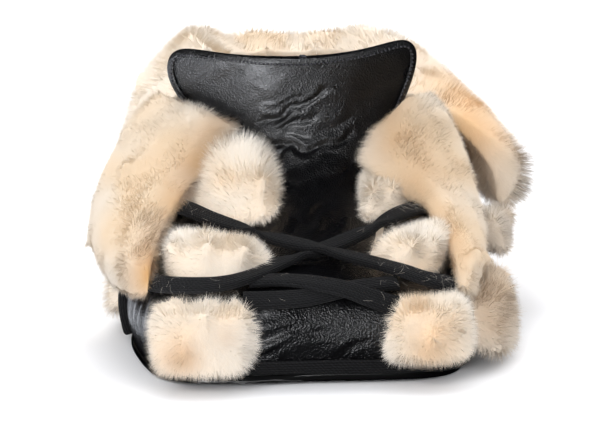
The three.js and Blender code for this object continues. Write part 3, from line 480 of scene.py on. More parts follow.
TONGUE_FOLDS = [
    (-14.5, 76.5, 0, 83.5, 1.44, -1.08, 0.35), (0, 83.5, 10.5, 89.5, 1.26, -0.79, 0.25),
    (-12, 81, 2, 87.5, 1.17, -0.5, 0.2), (-6, 75, 6, 80, 1.26, -0.43, 0.15),
    (-17.5, 66, -8.5, 69.5, 1.35, -1.01, 0.35), (-8.5, 69.5, 0, 66.5, 1.35, -0.86, 0.3),
    (0, 66.5, 9, 67.5, 1.44, -1.01, 0.3), (9, 67.5, 20, 72, 1.26, -0.79, 0.25),
    (-15, 61.5, -5, 66.5, 1.26, -0.72, 0.3), (3, 62, 14, 67, 1.26, -0.5, 0.2),
    (8, 72, 20, 79, 1.98, -0.43, 0.15), (-20, 70, -11, 73.5, 2.16, 0.58, 0),
    (-4, 41, 3, 45, 1.53, -0.79, 0.3), (3, 45, 12, 49, 1.35, -0.72, 0.25),
    (-3, 45.5, 5, 48.5, 2.16, 0.79, 0), (7, 40, 15, 46, 1.44, -0.65, 0.25),
    (-12, 56, -3, 60, 1.8, -0.5, 0.2), (-2, 53, 8, 57, 1.62, -0.5, 0.2),
    (-9, 50, -1, 54, 1.35, -0.43, 0.2), (10, 56, 19, 61, 1.62, -0.43, 0.2),
    (-30, 84, -24, 98, 5.4, -0.58, 0), (-17, 88, -4, 93, 4.5, 0.58, 0), (22, 76, 30, 96, 6.3, -0.5, 0),
]

# The leather piece on each node: its name, levels, how far edges hold, finer box and folds.
SKINS = {
    "upper": (
        "stitched_upper", 2, 0.8, TOE_BOX,
        {"front": TOE_FOLDS, "inner": INNER_FOLDS, "outer": OUTER_FOLDS},
    ),
    "tongue": ("tongue_panel", 3, 0.85, CREASED_BOX, {"front": TONGUE_FOLDS}),
    "tongue_binding": ("folded_binding", 2, 0.35, None, {}),
    "outsole": ("sole", 2, 0.9, None, {}),
}

STITCH_PITCH = 1.5
STITCH_LENGTH = 0.95
STITCH_THICK = 0.8
STITCH_INSET = 2.3  # from the binding's outer edge in to the stitches
STITCH_RAISED = 0.2
STITCH_AHEAD = 0.2  # how far ahead along the seam a stitch points
SEAM_STEP = 1.2

# Outer edge of the tongue's flared top seen from the front, as x and z.
FLARE_EDGE = [(-36, 75), (-43.5, 80.5), (-49.3, 87), (-51.4, 93), (-51, 99), (-48.6, 102.4)]
FLARE_EDGE += [(-43.5, 104.4), (-30, 103.2), (-14, 101.8), (0, 101.4), (12, 102.4), (24, 104.2)]
FLARE_EDGE += [(36, 107.2), (41.2, 107.4), (44.4, 104.4), (45, 99), (43.4, 92), (39.5, 82), (35.5, 74)]
FRONT_OF_TONGUE = 40


def onto_front(tree, x, z):
    """Where a line from the front meets the leather, with the surface's direction there."""
    hit, normal, _, _ = tree.ray_cast(place(x, FRONT_OF_TONGUE, z), Vector((0, 1, 0)))
    return hit, normal


def stitch_row(tree, line, pitch, name):
    """Waxed stitches along a line of x and z points on the front of the tongue."""
    line = np.array(line)
    steps = reached(line)
    parts = bmesh.new()
    for at in np.arange(pitch, steps[-1], pitch):
        x, z = (np.interp(at, steps, line[:, k]) for k in (0, 1))
        ahead_x, ahead_z = (np.interp(at + STITCH_AHEAD, steps, line[:, k]) for k in (0, 1))
        hit, normal = onto_front(tree, x, z)
        if hit is None:
            continue
        run = Vector((ahead_x - x, 0, ahead_z - z)).normalized()
        run = (run - normal * run.dot(normal)).normalized()
        side = normal.cross(run)
        made = bmesh.ops.create_uvsphere(parts, u_segments=8, v_segments=6, radius=0.5 * MM)["verts"]
        for corner in made:
            across, along, out = corner.co * 1
            corner.co = (
                hit + side * across * STITCH_THICK + run * along * STITCH_LENGTH
                + normal * (out * STITCH_THICK + STITCH_RAISED * MM)
            )
    mesh = mesh_of(name, parts)
    shade_smooth(mesh)
    return link(name, mesh)


def inset_line(line, distance):
    """A line of x and z points moved to its right by distance."""
    line = np.array(curve_through([(x, 0, z) for x, z in line], SEAM_STEP))[:, [0, 2]]
    along = unit(np.gradient(line, axis=0))
    return line + np.stack([along[:, 1], -along[:, 0]], axis=1) * distance


KNOT_PLACE, KNOT_OFF = (1, 100.6), (0, 1.0, 0.4)
KNOT_LOOPS = [(0.9, 0.25), (0.7, -0.3), (0.8, 0.05)]  # each loop's radius and rise
KNOT_WIDE, KNOT_LOW = 1.6, 0.8  # a loop's width and height, in radii
KNOT_CLIMB, KNOT_WAVE = 0.6, 0.3
KNOT_TURN, KNOT_STEP = 0.5, 0.2
THREAD_RADIUS, THREAD_SIDES = 0.3, 8


def thread_knot(tree):
    """The thread's finishing knot: three small loops of thread wound on the binding's top."""
    hit, _ = onto_front(tree, *KNOT_PLACE)
    base = np.array(hit) + np.array(KNOT_OFF) * MM
    points = []
    for turn, (radius, rise) in enumerate(KNOT_LOOPS):
        for angle in np.arange(0, 2 * math.pi, KNOT_TURN):
            across = KNOT_WIDE * radius * math.cos(angle + turn)
            climbed = rise + KNOT_WAVE * math.sin(2 * angle + turn) + KNOT_CLIMB * turn
            points.append((across, radius * math.sin(angle) * KNOT_LOW, climbed))
    line = base + curve_through(points, KNOT_STEP) * MM
    outs = unit(line - base + 1e-5)
    angles = np.linspace(0, 2 * math.pi, THREAD_SIDES, False)
    section = [(THREAD_RADIUS * math.cos(a), THREAD_RADIUS * math.sin(a)) for a in angles]
    return sweep("thread_knot", line, outs, section)


# ---------------------------------------------------------------- tapes and lace

TAPE_SIDES = 6
BOOT_MIDDLE = (2, 131)  # x and y that the bands go round
RAND_GAP, LACE_GAP = (-56, 35), (0, 0)  # where a band's two ends leave a gap


def stations_of(node, key):
    """The middles of a solid band's sections, in order of key along the band."""
    faces = welded(node)
    places = np.array([v.co for v in faces.verts])
    faces.free()
    places = places[np.argsort(key(to_shoe(places)))]
    groups = [places[: TAPE_SIDES + 1], places[-TAPE_SIDES - 1 :]]
    for end, group in zip((0, -1), groups):
        middle = np.linalg.norm(group - group.mean(axis=0), axis=1).argmin()
        index = middle if end == 0 else len(places) - TAPE_SIDES - 1 + middle
        places = np.delete(places, index, axis=0)
    return places.reshape(-1, TAPE_SIDES, 3).mean(axis=1)


def round_from(x, y):
    """Order round the boot, starting from the direction of a point in a band's gap."""
    gap = math.atan2(x - BOOT_MIDDLE[0], y - BOOT_MIDDLE[1])

    def key(shoe):
        turned = np.arctan2(shoe[:, 0] - BOOT_MIDDLE[0], shoe[:, 1] - BOOT_MIDDLE[1]) - gap
        return turned % (2 * math.pi)

    return key


SELVEDGE, CROWN = 0.62, 0.6  # powers that square a round section, across and out
GROOVE = 0.93  # thickness between two ribs, as a share


def tape_section(width, thickness, ribs, rise=0):
    """A flat section with rounded selvedges and a low rib every second point, raised by rise."""
    section = []
    for k in range(ribs * 2):
        angle = math.pi * k / ribs
        across, out = math.cos(angle), math.sin(angle)
        full = 1 if k % 2 else GROOVE
        wide = width / 2 * math.copysign(abs(across) ** SELVEDGE, across)
        section.append((wide, thickness / 2 * math.copysign(abs(out) ** CROWN, out) * full + rise))
    return section


LACE_WIDTH, LACE_THICKNESS, LACE_RIBS = 7.0, 2.8, 14
RAND_HEIGHT, RAND_THICKNESS, RAND_RIBS = 4.8, 1.5, 10
STRIP_WIDTH, STRIP_THICKNESS, STRIP_PROUD = 5.2, 4.4, 0.8
TAPE_STEP = 1.3
EVENINGS = 12  # rounds of evening a tape's twist along its length

# The lace's four runs over the front, from the inner to the outer side.
LACE_RUNS = {
    "over": [
        (-47.5, 93, 46), (-41.5, 73.5, 48), (-33, 59.5, 47), (-21.5, 48.5, 45), (-9.5, 42, 42.5),
        (5.5, 37.5, 40), (18.5, 30, 38), (33.5, 18.5, 36), (42.5, 12, 34), (51, 15.5, 31.5),
    ],
    "under": [
        (-51, 23, 31), (-46, 10.5, 32.5), (-33.5, 3.5, 33.5), (-24, 6, 34), (-15, 15, 35),
        (-6.5, 28, 36.5), (6.5, 40, 38.5), (17, 49, 41), (25.5, 54, 44), (36, 65.5, 47.5),
        (44, 79.5, 47.5),
    ],
    "low_over": [
        (-17, 13, 33), (-8, 13, 33.5), (0.5, 11, 33.5), (6.5, 9, 33), (15.5, 7, 31.5), (23, 6, 29),
        (32, 6, 26),
    ],
    "low_under": [
        (-18.5, 3, 28.5), (-7, 4.5, 28.5), (2.5, 6, 29), (12.5, 9.5, 30.5), (23, 13, 31.5),
        (32.5, 15.5, 32),
    ],
}


def outs_from(tree, stations):
    """The surface's direction under each station of a tape, evened along its length."""
    outs = np.array([tree.find_nearest(Vector(p))[1] for p in stations])
    for _ in range(EVENINGS):
        outs[1:-1] = (outs[:-2] + 2 * outs[1:-1] + outs[2:]) / 4
    return unit(outs)


def tape_along(name, route, tree, section):
    stations = np.array([place(*p) for p in curve_through(route, TAPE_STEP)])
    return sweep(name, stations, outs_from(tree, stations), section)


def joined(name, pieces):
    """Several pieces as one mesh."""
    if len(pieces) > 1:
        with bpy.context.temp_override(active_object=pieces[0], selected_editable_objects=pieces):
            bpy.ops.object.join()
    pieces[0].name = pieces[0].data.name = name
    return pieces[0]


# ---------------------------------------------------------------- shearling

# Hairs, their length and width, how far they stand up from the hide, the way they are combed,
# how far they fan out from the middle of the piece and stray, how far they gather in wisps of a
# given size, how far the underwool is drawn in, how light the hairs and the underwool are, and
# how far hairs differ.
Coat = namedtuple("Coat", "hairs length width lift comb fan stray wisp pull sink tone under vary")
PLUSH = Coat(78000, 2.6, 0.16, 0.25, (0, -0.1, -0.8), 0.35, 0.25, 1.2, 0.0, 1.0, 0.78, 0.78, 0.5)
COLLAR = Coat(178000, 4.4, 0.17, 0.55, (0.2, 0, -0.9), 0.4, 0.3, 1.6, 0.1, 1.2, 0.96, 1.0, 0.7)
BLOCK = Coat(27000, 4.6, 0.2, 0.5, (0, 0, -0.6), 0.25, 0.55, 1.6, 0.12, 0.9, 0.98, 0.96, 1.0)
SIDE = Coat(19000, 5.0, 0.2, 0.5, (0, 0, -0.6), 0.25, 0.5, 1.6, 0.12, 0.4, 1.0, 0.98, 1.0)
INSOLE = Coat(12000, 3.5, 0.2, 0.7, (0, 0, 0.3), 0.0, 0.3, 3.0, 0.2, 0.5, 1.0, 1.0, 1.0)
LINING = Coat(26000, 4.5, 0.2, 0.7, (0, 0, 0.3), 0.0, 0.3, 3.0, 0.2, 0.0, 1.0, 1.0, 1.0)

# Each fleece: its name, the nodes that it stands for and its coat.
PADS = [(f"{side}_{row}", BLOCK) for side in ("inner", "outer") for row in ("low", "mid", "high")]
PADS += [
    (f"{side}_{row}", SIDE)
    for side in ("inner_side", "outer_side", "outer_heel")
    for row in ("low", "mid")
]
FLEECES = [
    ("inner_lapel", ["cuff_inner_front"], PLUSH),
    ("outer_lapel", ["cuff_outer_front"], PLUSH),
    ("collar", ["cuff_outer_back", "cuff_inner_back"], COLLAR),
    *((name, ["wool_" + name], coat) for name, coat in PADS),
    ("insole", ["insole"], INSOLE),
]

# Where a piece's hair grows longer: middle, radius, how much longer, how much less it stands
# up and which way it lies.
SHAGS = {
    "collar": [(88, 124, 56, 18, 1.3, -0.5, (1.2, -0.2, -0.6))],
    "inner_lapel": [
        (-28, 90, 72, 11, 1.6, -1.6, (1.2, -0.3, 0)), (-38, 80, 58, 11, 1.0, -1.6, (1, -0.3, -0.4)),
        (-44, 45, 46, 12, 0.8, -1.6, (0.8, 0, -0.8)), (-50, 25, 34, 10, 0.8, -1.6, (0.8, 0, -0.8)),
    ],
    "outer_lapel": [(28, 88, 72, 12, 1.0, -1.4, (-1.2, 0, -0.2)), (55, 12, 31, 8, 0.8, -1, (0, 0, -1.2))],
    "inner_high": [(-20, 82, 68, 12, 1.2, 0, (0.7, 0, 0.7))],
    "outer_mid": [(28, 42, 42, 10, 0.8, 0.4, (-1.3, 0, 0.2))],
}

# Where a piece's underwool is pushed to meet its neighbours or dips: middle, radius and how far.
SWELLS = {
    "inner_high": [(-31, 80, 56, 10, (-9, 6, -2)), (-27, 84, 66, 9, (-5, 5, 6))],
    "inner_mid": [(-41, 18, 35, 9, (0, -4, -3))],
    "inner_low": [(-37, 12, 28, 8, (0, -6, 3))],
    "collar": [
        (84, 124, 57, 20, (6, 0, 0)), (-43, 200, 107, 18, (0, 0, -2)), (-31, 232, 107, 12, (0, 0, -8)),
        (-4, 254, 106, 18, (0, 0, -5)), (17, 250, 106, 9, (0, 0, -3)), (34, 236, 106, 14, (0, 0, -2)),
    ],
}

# Patches of colour on the fleece, and of painted shade where it lies in shadow, seen from the front: middle
# x and z, radius and strength.
COLOUR_AND_SHADE_PATCHES = {
    "inner_lapel": [
        # Ochre down the lapel's free edge: golden fringe, darkened as painted shade where the edge rolls
        # under.
        ("peach", -58, 64, 18, 1.1), ("peach", -66, 46, 14, 0.4), ("ochre", -30, 74, 8, 0.6),
        ("ochre", -37, 61, 8, 0.8), ("ochre", -44, 48, 7, 0.7), ("ochre", -49, 36, 8, 0.9),
    ],
    "outer_lapel": [
        # The faint grey near this lapel's top is painted shade.
        ("grey", 36, 88, 16, 0.15), ("peach", 52, 60, 24, 1.1), ("peach", 34, 78, 14, 0.7),
        # Ochre down this lapel's free edge: golden fringe, darkened as painted shade.
        ("ochre", 33, 74, 11, 0.45), ("ochre", 45, 58, 8, 0.45), ("ochre", 50, 42, 7, 0.6),
        # Painted shade: peach that dims the light on the lapel's lower end.
        ("peach", 56, 30, 9, 1.0),
    ],
    "collar": [
        # The collar's peach is its own; its ochre is golden wool darkened as painted shade towards the
        # lapel, and the grey at its right-hand end is painted shade.
        ("peach", 66, 68, 24, 1.1), ("ochre", 62, 66, 20, 0.75), ("grey", 90, 54, 16, 0.9),
        # The grey over the back of the collar is painted shade.
        ("peach", -13, 104, 20, 0.8), ("grey", 0, 104, 50, 0.4),
    ],
    "inner_low": [("ochre", -38, 12, 6, 0.55), ("ochre", -23, 19, 4, 0.35)],
    "outer_low": [("ochre", 39, 31, 5, 0.35), ("ochre", 42, 12, 6, 0.35), ("peach", 40, 20, 14, 0.5)],
    "inner_high": [("peach", -30, 58, 8, 0.5)],
    "outer_mid": [("peach", 46, 36, 10, 0.5)],
    # The outer side and heel pads lie in shadow: their grey, ochre and peach are painted shade.
    "outer_side_low": [("grey", 68, 20, 30, 0.7), ("ochre", 68, 26, 16, 0.5), ("peach", 66, 24, 16, 0.6)],
    "outer_side_mid": [("grey", 74, 45, 30, 0.5), ("grey", 70, 36, 30, 0.5)],
    "outer_heel_low": [("grey", 72, 20, 40, 0.6), ("ochre", 70, 22, 18, 0.5), ("grey", 60, 20, 60, 0.4)],
    "outer_heel_mid": [("grey", 74, 45, 30, 0.6)],
}

BODY_VOXEL = 1.6
SOFTENING = 4  # rounds of softening
BODY_HOLD = 0.7
BODY_KEPT = 0.35  # share of the faces kept


def swollen(name, places):
    """A piece's corners, pushed where it meets its neighbours or dips."""
    for *middle, radius, push in SWELLS.get(name, ()):
        places = places + nearness(to_shoe(places), middle, radius) * np.array(push) * MM
    return places


def soft_body(nodes, name, sink):
    """The thick underwool of a piece: its solids, rounded, joined, softened and drawn in."""
    piece = joined(name, [smooth_copy(node, node, levels=2, hold=BODY_HOLD) for node in nodes])
    remesh = piece.modifiers.new("remesh", "REMESH")
    remesh.mode = "VOXEL"
    remesh.voxel_size = BODY_VOXEL * MM
    soften = piece.modifiers.new("soften", "SMOOTH")
    soften.factor = 0.5
    soften.iterations = SOFTENING
    piece.modifiers.new("thin_out", "DECIMATE").ratio = BODY_KEPT
    mesh = baked(piece).data
    mesh.validate()
    move_corners(mesh, swollen(name, corners(mesh) - corners(mesh, "normal") * sink * MM))
    return piece


def scattered(mesh, count, chance):
    """Points spread evenly over a mesh, with the surface's direction at each, and its area."""
    mesh.calc_loop_triangles()
    found = np.empty(len(mesh.loop_triangles) * 3, np.int32)
    mesh.loop_triangles.foreach_get("vertices", found)
    found = found.reshape(-1, 3)
    places, normals = corners(mesh), corners(mesh, "normal")
    a, b, c = (places[found[:, k]] for k in range(3))
    area = np.linalg.norm(np.cross(b - a, c - a), axis=1)
    pick = chance.choice(len(found), count, p=area / area.sum())
    u, v = chance.random((2, count))
    over = u + v > 1
    u[over], v[over] = 1 - u[over], 1 - v[over]
    shares = np.stack([1 - u - v, u, v], axis=1)[:, :, None]
    roots = (places[found[pick]] * shares).sum(axis=1)
    return roots, unit((normals[found[pick]] * shares).sum(axis=1)), area.sum() / 2


SWIRL_SIZE = 11
SWIRL_SEED = 5  # without it the noise is seeded by the clock


def swirl(places):
    """A slow change of direction from place to place, as a fleece has."""
    noise.seed_set(SWIRL_SEED)
    return np.array([noise.noise_vector(Vector(p) / (SWIRL_SIZE * MM)) for p in places])


def grown(name, roots, outs, coat, body, wander, shares):
    """Hairs' tips: with the comb, away from the body's middle, and further where it is shaggy."""
    places = corners(body)
    middle, reach = places.mean(axis=0), np.ptp(places, axis=0).max() / 2
    shoe = to_shoe(roots)
    lift, comb, more = np.full((len(roots), 1), coat.lift), np.array(coat.comb), np.ones((len(roots), 1))
    for *spot, radius, longer, lie, way in SHAGS.get(name, ()):
        share = nearness(shoe, spot, radius)
        lift, more = lift * (1 - lie * share), more + longer * share
        comb = comb + share * (np.array(way) - comb)
    push = comb + coat.fan * (roots - middle) / reach + wander
    push -= (push * outs).sum(axis=1, keepdims=True) * outs
    return roots + unit(lift * outs + (1 - lift) * push) * more * coat.length * MM * shares


FLOOR_GAP = 0.5
LOOK_AHEAD = 1.1  # how far a hair looks for leather or lace, in its own lengths
STOP_SHORT = 0.85  # share of the free way that a hair takes


def free_length(tree, roots, directions, lengths):
    """How long each hair can be before it meets leather or lace, and the floor."""
    free = lengths.copy()
    for i, (root, way) in enumerate(zip(roots, directions)):
        hit = tree.ray_cast(Vector(root), Vector(way), lengths[i] * LOOK_AHEAD)
        if hit[0] is not None:
            free[i] = hit[3] * STOP_SHORT
    down = np.maximum(-directions[:, 2], 1e-6)
    return np.minimum(free, np.maximum(roots[:, 2] - FLOOR_GAP * MM, 0) / down)


WALL_NEAR = 2.0  # no hair grows where the fleece lies this close on the leather
FEWEST_WISPS = 20
WISP_LENGTHS, HAIR_LENGTHS = (0.8, 1.25), (0.6, 1.2)  # shares of the coat's length
PUSHED_UP = 0.7  # hairs that reach less than this share of their length stand up instead
RAISED_WAY, RAISED_OUT = 0.5, 0.8  # how much of their own way they keep and how far they turn out
SHORTEST = 0.8
HAIR_SOAK = 0.8  # how deep a hair's root is sunk in the hide


def hairs_on(name, body, coat, tree, lace, chance):
    """Roots, tips and facings of a coat's hairs, and the wisp that each belongs to."""
    roots, outs, area = scattered(body, coat.hairs, chance)
    bare = np.array([
        any(near.ray_cast(Vector(r), Vector(o), WALL_NEAR * MM)[0] for near in (tree, lace))
        for r, o in zip(roots, outs)
    ])
    roots, outs = roots[~bare], outs[~bare]
    wisps = max(FEWEST_WISPS, int(area / (coat.wisp * MM) ** 2))
    heads, head_outs, _ = scattered(body, wisps, chance)
    shares = chance.uniform(*WISP_LENGTHS, (wisps, 1))
    head_tips = grown(name, heads, head_outs, coat, body, swirl(heads), shares)
    finder = kdtree.KDTree(wisps)
    for i, head in enumerate(heads):
        finder.insert(head, i)
    finder.balance()
    wisp = np.array([finder.find(Vector(r))[1] for r in roots])
    stray = chance.normal(0, coat.stray, roots.shape)
    shares = chance.uniform(*HAIR_LENGTHS, (len(roots), 1))
    tips = grown(name, roots, outs, coat, body, swirl(roots) + stray, shares)
    tips += coat.pull * (head_tips[wisp] - tips)
    ways = unit(tips - roots)
    wanted = np.linalg.norm(tips - roots, axis=1)
    lengths = free_length(tree, roots, ways, wanted)
    raised = unit(RAISED_WAY * ways + RAISED_OUT * outs)
    raised_lengths = free_length(tree, roots, raised, wanted)
    blocked = (lengths < PUSHED_UP * wanted) & (raised_lengths > lengths)
    ways[blocked], lengths[blocked] = raised[blocked], raised_lengths[blocked]
    kept = lengths > SHORTEST * MM
    roots, outs, ways, lengths, wisp = (x[kept] for x in (roots, outs, ways, lengths, wisp))
    return roots - outs * HAIR_SOAK * MM, roots + ways * lengths[:, None], outs, wisp


MOTTLE, MOTTLE_TWIST = (9, 7, 8, 17), 1.3  # lengths of the slow waves that break up a colour
PEACH_GROUND, PEACH_MOTTLE = 0.2, 0.2
PATCH_GROUND, PATCH_MOTTLE = 0.85, 0.3
MOST = 1.2  # the most that a fact may say


def set_facts(mesh, piece, places, along, tint):
    """Gives each corner its place along the hair, its tint and how peach, ochre and grey it is, the grey and
    part of the peach and ochre being painted shade.
    """
    shoe = to_shoe(places)
    x, y, z = shoe.T
    twist = MOTTLE_TWIST * np.sin(z / MOTTLE[0])
    wave = np.sin(x / MOTTLE[1] + twist) * np.sin(z / MOTTLE[2] + y / MOTTLE[3])
    facts = {"along": along, "tint": tint, "peach": PEACH_GROUND + PEACH_MOTTLE * wave}
    facts |= {"ochre": np.zeros(len(places)), "grey": np.zeros(len(places))}
    for fact, x, z, radius, strength in COLOUR_AND_SHADE_PATCHES.get(piece, ()):
        away = np.hypot(shoe[:, 0] - x, shoe[:, 2] - z) / radius
        full = strength * np.exp(-(away**2))
        facts[fact] = facts[fact] + full * (PATCH_GROUND + PATCH_MOTTLE * wave)
    for fact in FACTS:
        values = mesh.attributes.new(fact, "FLOAT", "POINT").data
        values.foreach_set("value", np.clip(facts[fact], 0, MOST).astype(np.float32))


# Roots and underwool take part of the darker root colour, which is painted shade among the hairs.
BODY_ALONG, ROOT_ALONG = 0.55, 0.1  # how far along a hair the underwool and the roots count
HAIR_WIDTHS = (0.75, 1.25)
WISP_TINT, HAIR_TINT = 0.015, 0.028  # how far the lightness of wisps and hairs spreads
SHIMMER = 0.1
LIT_FROM_ABOVE = 0.3  # how far wool, which light soaks into, takes its light from above


def nap_on(name, body, coat, tree, lace, seed):
    """The fleece's hairs as one mesh of slim blades, each facing the way its hide faces."""
    chance = np.random.default_rng(seed)
    roots, tips, outs, wisp = hairs_on(name, body, coat, tree, lace, chance)
    count = len(roots)
    sides = unit(np.cross(tips - roots, outs))
    half = coat.width * MM / 2 * chance.uniform(*HAIR_WIDTHS, (count, 1))
    places = np.stack([roots - sides * half, roots + sides * half, tips], axis=1).reshape(-1, 3)
    mesh = mesh_from("nap_" + name, places, np.arange(3 * count).reshape(-1, 3).tolist())
    shade_smooth(mesh)
    wisp_tint = chance.normal(coat.tone, WISP_TINT * coat.vary, wisp.max() + 1)
    tint = np.repeat(wisp_tint[wisp] + chance.normal(0, HAIR_TINT * coat.vary, count), 3)
    set_facts(mesh, name, places, np.tile([ROOT_ALONG, ROOT_ALONG, 1], count), tint)
    facing = unit(outs + (0, 0, LIT_FROM_ABOVE) + chance.normal(0, SHIMMER * coat.vary, (count, 3)))
    mesh.normals_split_custom_set_from_vertices(np.repeat(facing, 3, axis=0))
    nap = link("nap_" + name, mesh)
    nap.visible_shadow = False
    return nap


def fleece(name, body, coat, tree, lace, seed):
    """A piece's underwool and, as a second mesh, the nap that stands on it."""
    mesh = body.data
    nap = nap_on(name, mesh, coat, tree, lace, seed)
    count = len(mesh.vertices)
    set_facts(mesh, name, corners(mesh), np.full(count, BODY_ALONG), np.full(count, coat.under))
    body.name = mesh.name = "fleece_" + name
    return body, nap


STRAYS, STRAY_SEED = 180, 7
STRAY_STEPS, STRAY_STEP = 6, (0.4, 0.9)
STRAY_SHARES = (0.45, 0.45, 0.05, 0.05)  # of the strays, to the lace's four runs
STRAY_REACH = 0.3  # share of a run, from its end, over which strays lie
STRAY_GATHER = 2.6  # power that gathers them at the end
STRAY_AT_START = 0.4
STRAY_SPREAD, STRAY_BEND, STRAY_CLING = 2.4, 0.3, 0.7
STRAY_OFF = 0.4  # from the lace's face out
STRAY_HALF = 0.018  # half a fibre's width
STRAY_FACE = (0.3, -1, 0.3)
STRAY_TINT = 0.55


def stray_wool(tree):
    """Loose fine fibres caught on the lace where it goes under the fleece."""
    chance = np.random.default_rng(STRAY_SEED)
    lines = [np.array([place(*p) for p in curve_through(route, 1)]) for route in LACE_RUNS.values()]
    strands = []
    for _ in range(STRAYS):
        line = lines[chance.choice(len(lines), p=STRAY_SHARES)]
        at = STRAY_REACH * chance.random() ** STRAY_GATHER
        root = line[int((at if chance.random() < STRAY_AT_START else 1 - at) * (len(line) - 1))]
        out = np.array(tree.find_nearest(Vector(root))[1])
        spread = chance.normal(0, STRAY_SPREAD, 3) * MM
        point = root + out * (LACE_THICKNESS / 2 + STRAY_OFF) * MM + spread - out * (spread @ out)
        way, bend = unit(chance.normal(0, 1, 3)), chance.normal(0, STRAY_BEND, 3)
        strand = [point]
        for _ in range(STRAY_STEPS - 1):
            way = unit(way + bend - out * (way @ out) * STRAY_CLING)
            strand.append(strand[-1] + way * chance.uniform(*STRAY_STEP) * MM)
        strands.append(strand)
    strands = np.array(strands)
    sides = unit(np.cross(np.gradient(strands, axis=1), STRAY_FACE)) * STRAY_HALF * MM
    places = np.stack([strands - sides, strands + sides], axis=2).reshape(-1, 3)
    faces = [
        (first, first + 1, first + 3, first + 2)
        for strand in range(STRAYS)
        for first in range(2 * STRAY_STEPS * strand, 2 * STRAY_STEPS * (strand + 1) - 2, 2)
    ]
    mesh = mesh_from("stray_wool", places, faces)
    count = len(mesh.vertices)
    set_facts(mesh, "stray_wool", places, np.ones(count), np.full(count, STRAY_TINT))
    strays = link("stray_wool", mesh)
    strays.visible_shadow = False
    return strays


LINING_LIFT = 2.6  # off the upper's wall
LINING_FROM = 9  # height over the floor where the lining starts
LINING_FRONT = 92  # y from which it goes back to the heel
LINING_MIDDLE = (2, 150, 0)
LINING_LENGTHWISE = 0.35  # how much of the way to the middle counts along the shoe
LINING_FACING = 0.3  # least share in which a face of the lining looks inwards


def lining_body():
    """The wool side of the upper: a sheet over the inner faces of its wall."""
    faces = welded("upper")
    middle = place(*LINING_MIDDLE)
    for face in list(faces.faces):
        centre = face.calc_center_median()
        inward = Vector((middle.x - centre.x, LINING_LENGTHWISE * (middle.y - centre.y), 0))
        hidden = centre.z < LINING_FROM * MM or centre.y < place(0, LINING_FRONT, 0).y
        if hidden or face.normal.dot(inward.normalized()) < LINING_FACING:
            faces.faces.remove(face)
    loose = [v for v in faces.verts if not v.link_faces]
    bmesh.ops.delete(faces, geom=loose, context="VERTS")
    mesh = mesh_of("lining", faces)
    move_corners(mesh, corners(mesh) + corners(mesh, "normal") * LINING_LIFT * MM)
    piece = link("lining_body", mesh)
    piece.modifiers.new("smooth", "SUBSURF").levels = 1
    return baked(piece)


# ---------------------------------------------------------------- stage

CAMERA_PLACE = (0, -566, 150)
CAMERA_DIP = 9.14
LENS, SENSOR = 105.9, 36
STAGE_WIDTH, STAGE_FRONT, STAGE_BACK, STAGE_RISE = 6.0, -3.0, 1.6, 2.6
SWEEP_RADIUS, SWEEP_STEPS = 0.8, 16
AIR, AIR_STRENGTH = "#F4F6FA", 0.7

# Softboxes: where each stands, what it points at, its width and depth, power and colour, and
# whether it lights matt things or shows as gloss. Three cards lie flat on the floor.
LAMPS = [
    ("key_softbox", (-0.75, -1.0, 1.2), (0, 0, 0.04), 0.8, 0.8, 8, "#FFFFFF", "matt"),
    ("key_card", (-0.75, -1.0, 1.2), (0, 0, 0.04), 0.7, 0.7, 5.2, "#FFFFFF", "gloss"),
    ("top_softbox", (0.1, 0.1, 1.5), (0, 0, 0.0), 1.6, 1.6, 2.5, "#FFFFFF", "matt"),
    ("front_softbox", (-0.2, -1.6, 0.5), (0, 0, 0.05), 0.7, 0.45, 7, "#FBFCFF", "matt"),
    ("toe_card", (-0.08, -1.2, 0.4), (0, -0.15, 0.02), 0.36, 0.24, 8, "#FBFCFF", "gloss"),
    ("fill_softbox", (1.4, -0.8, 0.75), (0, 0, 0.05), 1.1, 1.1, 2.5, "#F6F9FF", "matt"),
    ("floor_card", (-0.12, -0.4, 0.003), (-0.12, -0.4, 1), 0.16, 0.42, 2.5, "#F6F9FF", "gloss"),
    ("glint_card", (-0.08, -0.22, 0.003), (-0.08, -0.22, 1), 0.05, 0.07, 0.3, "#F6F9FF", "gloss"),
    ("side_card", (-0.35, 0.1, 0.003), (-0.35, 0.1, 1), 0.56, 1.1, 3.5, "#F2F6FF", "gloss"),
    ("backdrop_light", (0, 0.9, 1.9), (0, 2.2, 0.3), 2.0, 2.0, 45, "#FFFFFF", "matt"),
]


def paper():
    """Matt seamless background paper: an even pale ground with a faint tooth."""
    sheet = Finish("seamless_paper")
    tooth = sheet.noise((sheet.node("TexCoord"), "Object"), scale=700.0, detail=2.0)
    fine = sheet.bump(tooth, strength=0.05, depth=0.1)
    pale = linear("#F7F7F8")
    return sheet.surface(Base_Color=pale, Roughness=0.95, Normal=fine, Specular_IOR_Level=0.1)


def backdrop():
    """Floor and wall in one sheet, with a round sweep between them."""
    profile = [(STAGE_FRONT, 0)]
    for k in range(SWEEP_STEPS + 1):
        angle = math.pi / 2 * k / SWEEP_STEPS
        swept = STAGE_BACK + SWEEP_RADIUS * math.sin(angle)
        profile.append((swept, SWEEP_RADIUS * (1 - math.cos(angle))))
    profile.append((STAGE_BACK + SWEEP_RADIUS, STAGE_RISE))
    places = [(side * STAGE_WIDTH / 2, y, z) for y, z in profile for side in (-1, 1)]
    faces = [(2 * i, 2 * i + 1, 2 * i + 3, 2 * i + 2) for i in range(len(profile) - 1)]
    mesh = mesh_from("backdrop", places, faces)
    shade_smooth(mesh)
    made = link("backdrop", mesh)
    wear(made, paper())
    made.visible_glossy = False


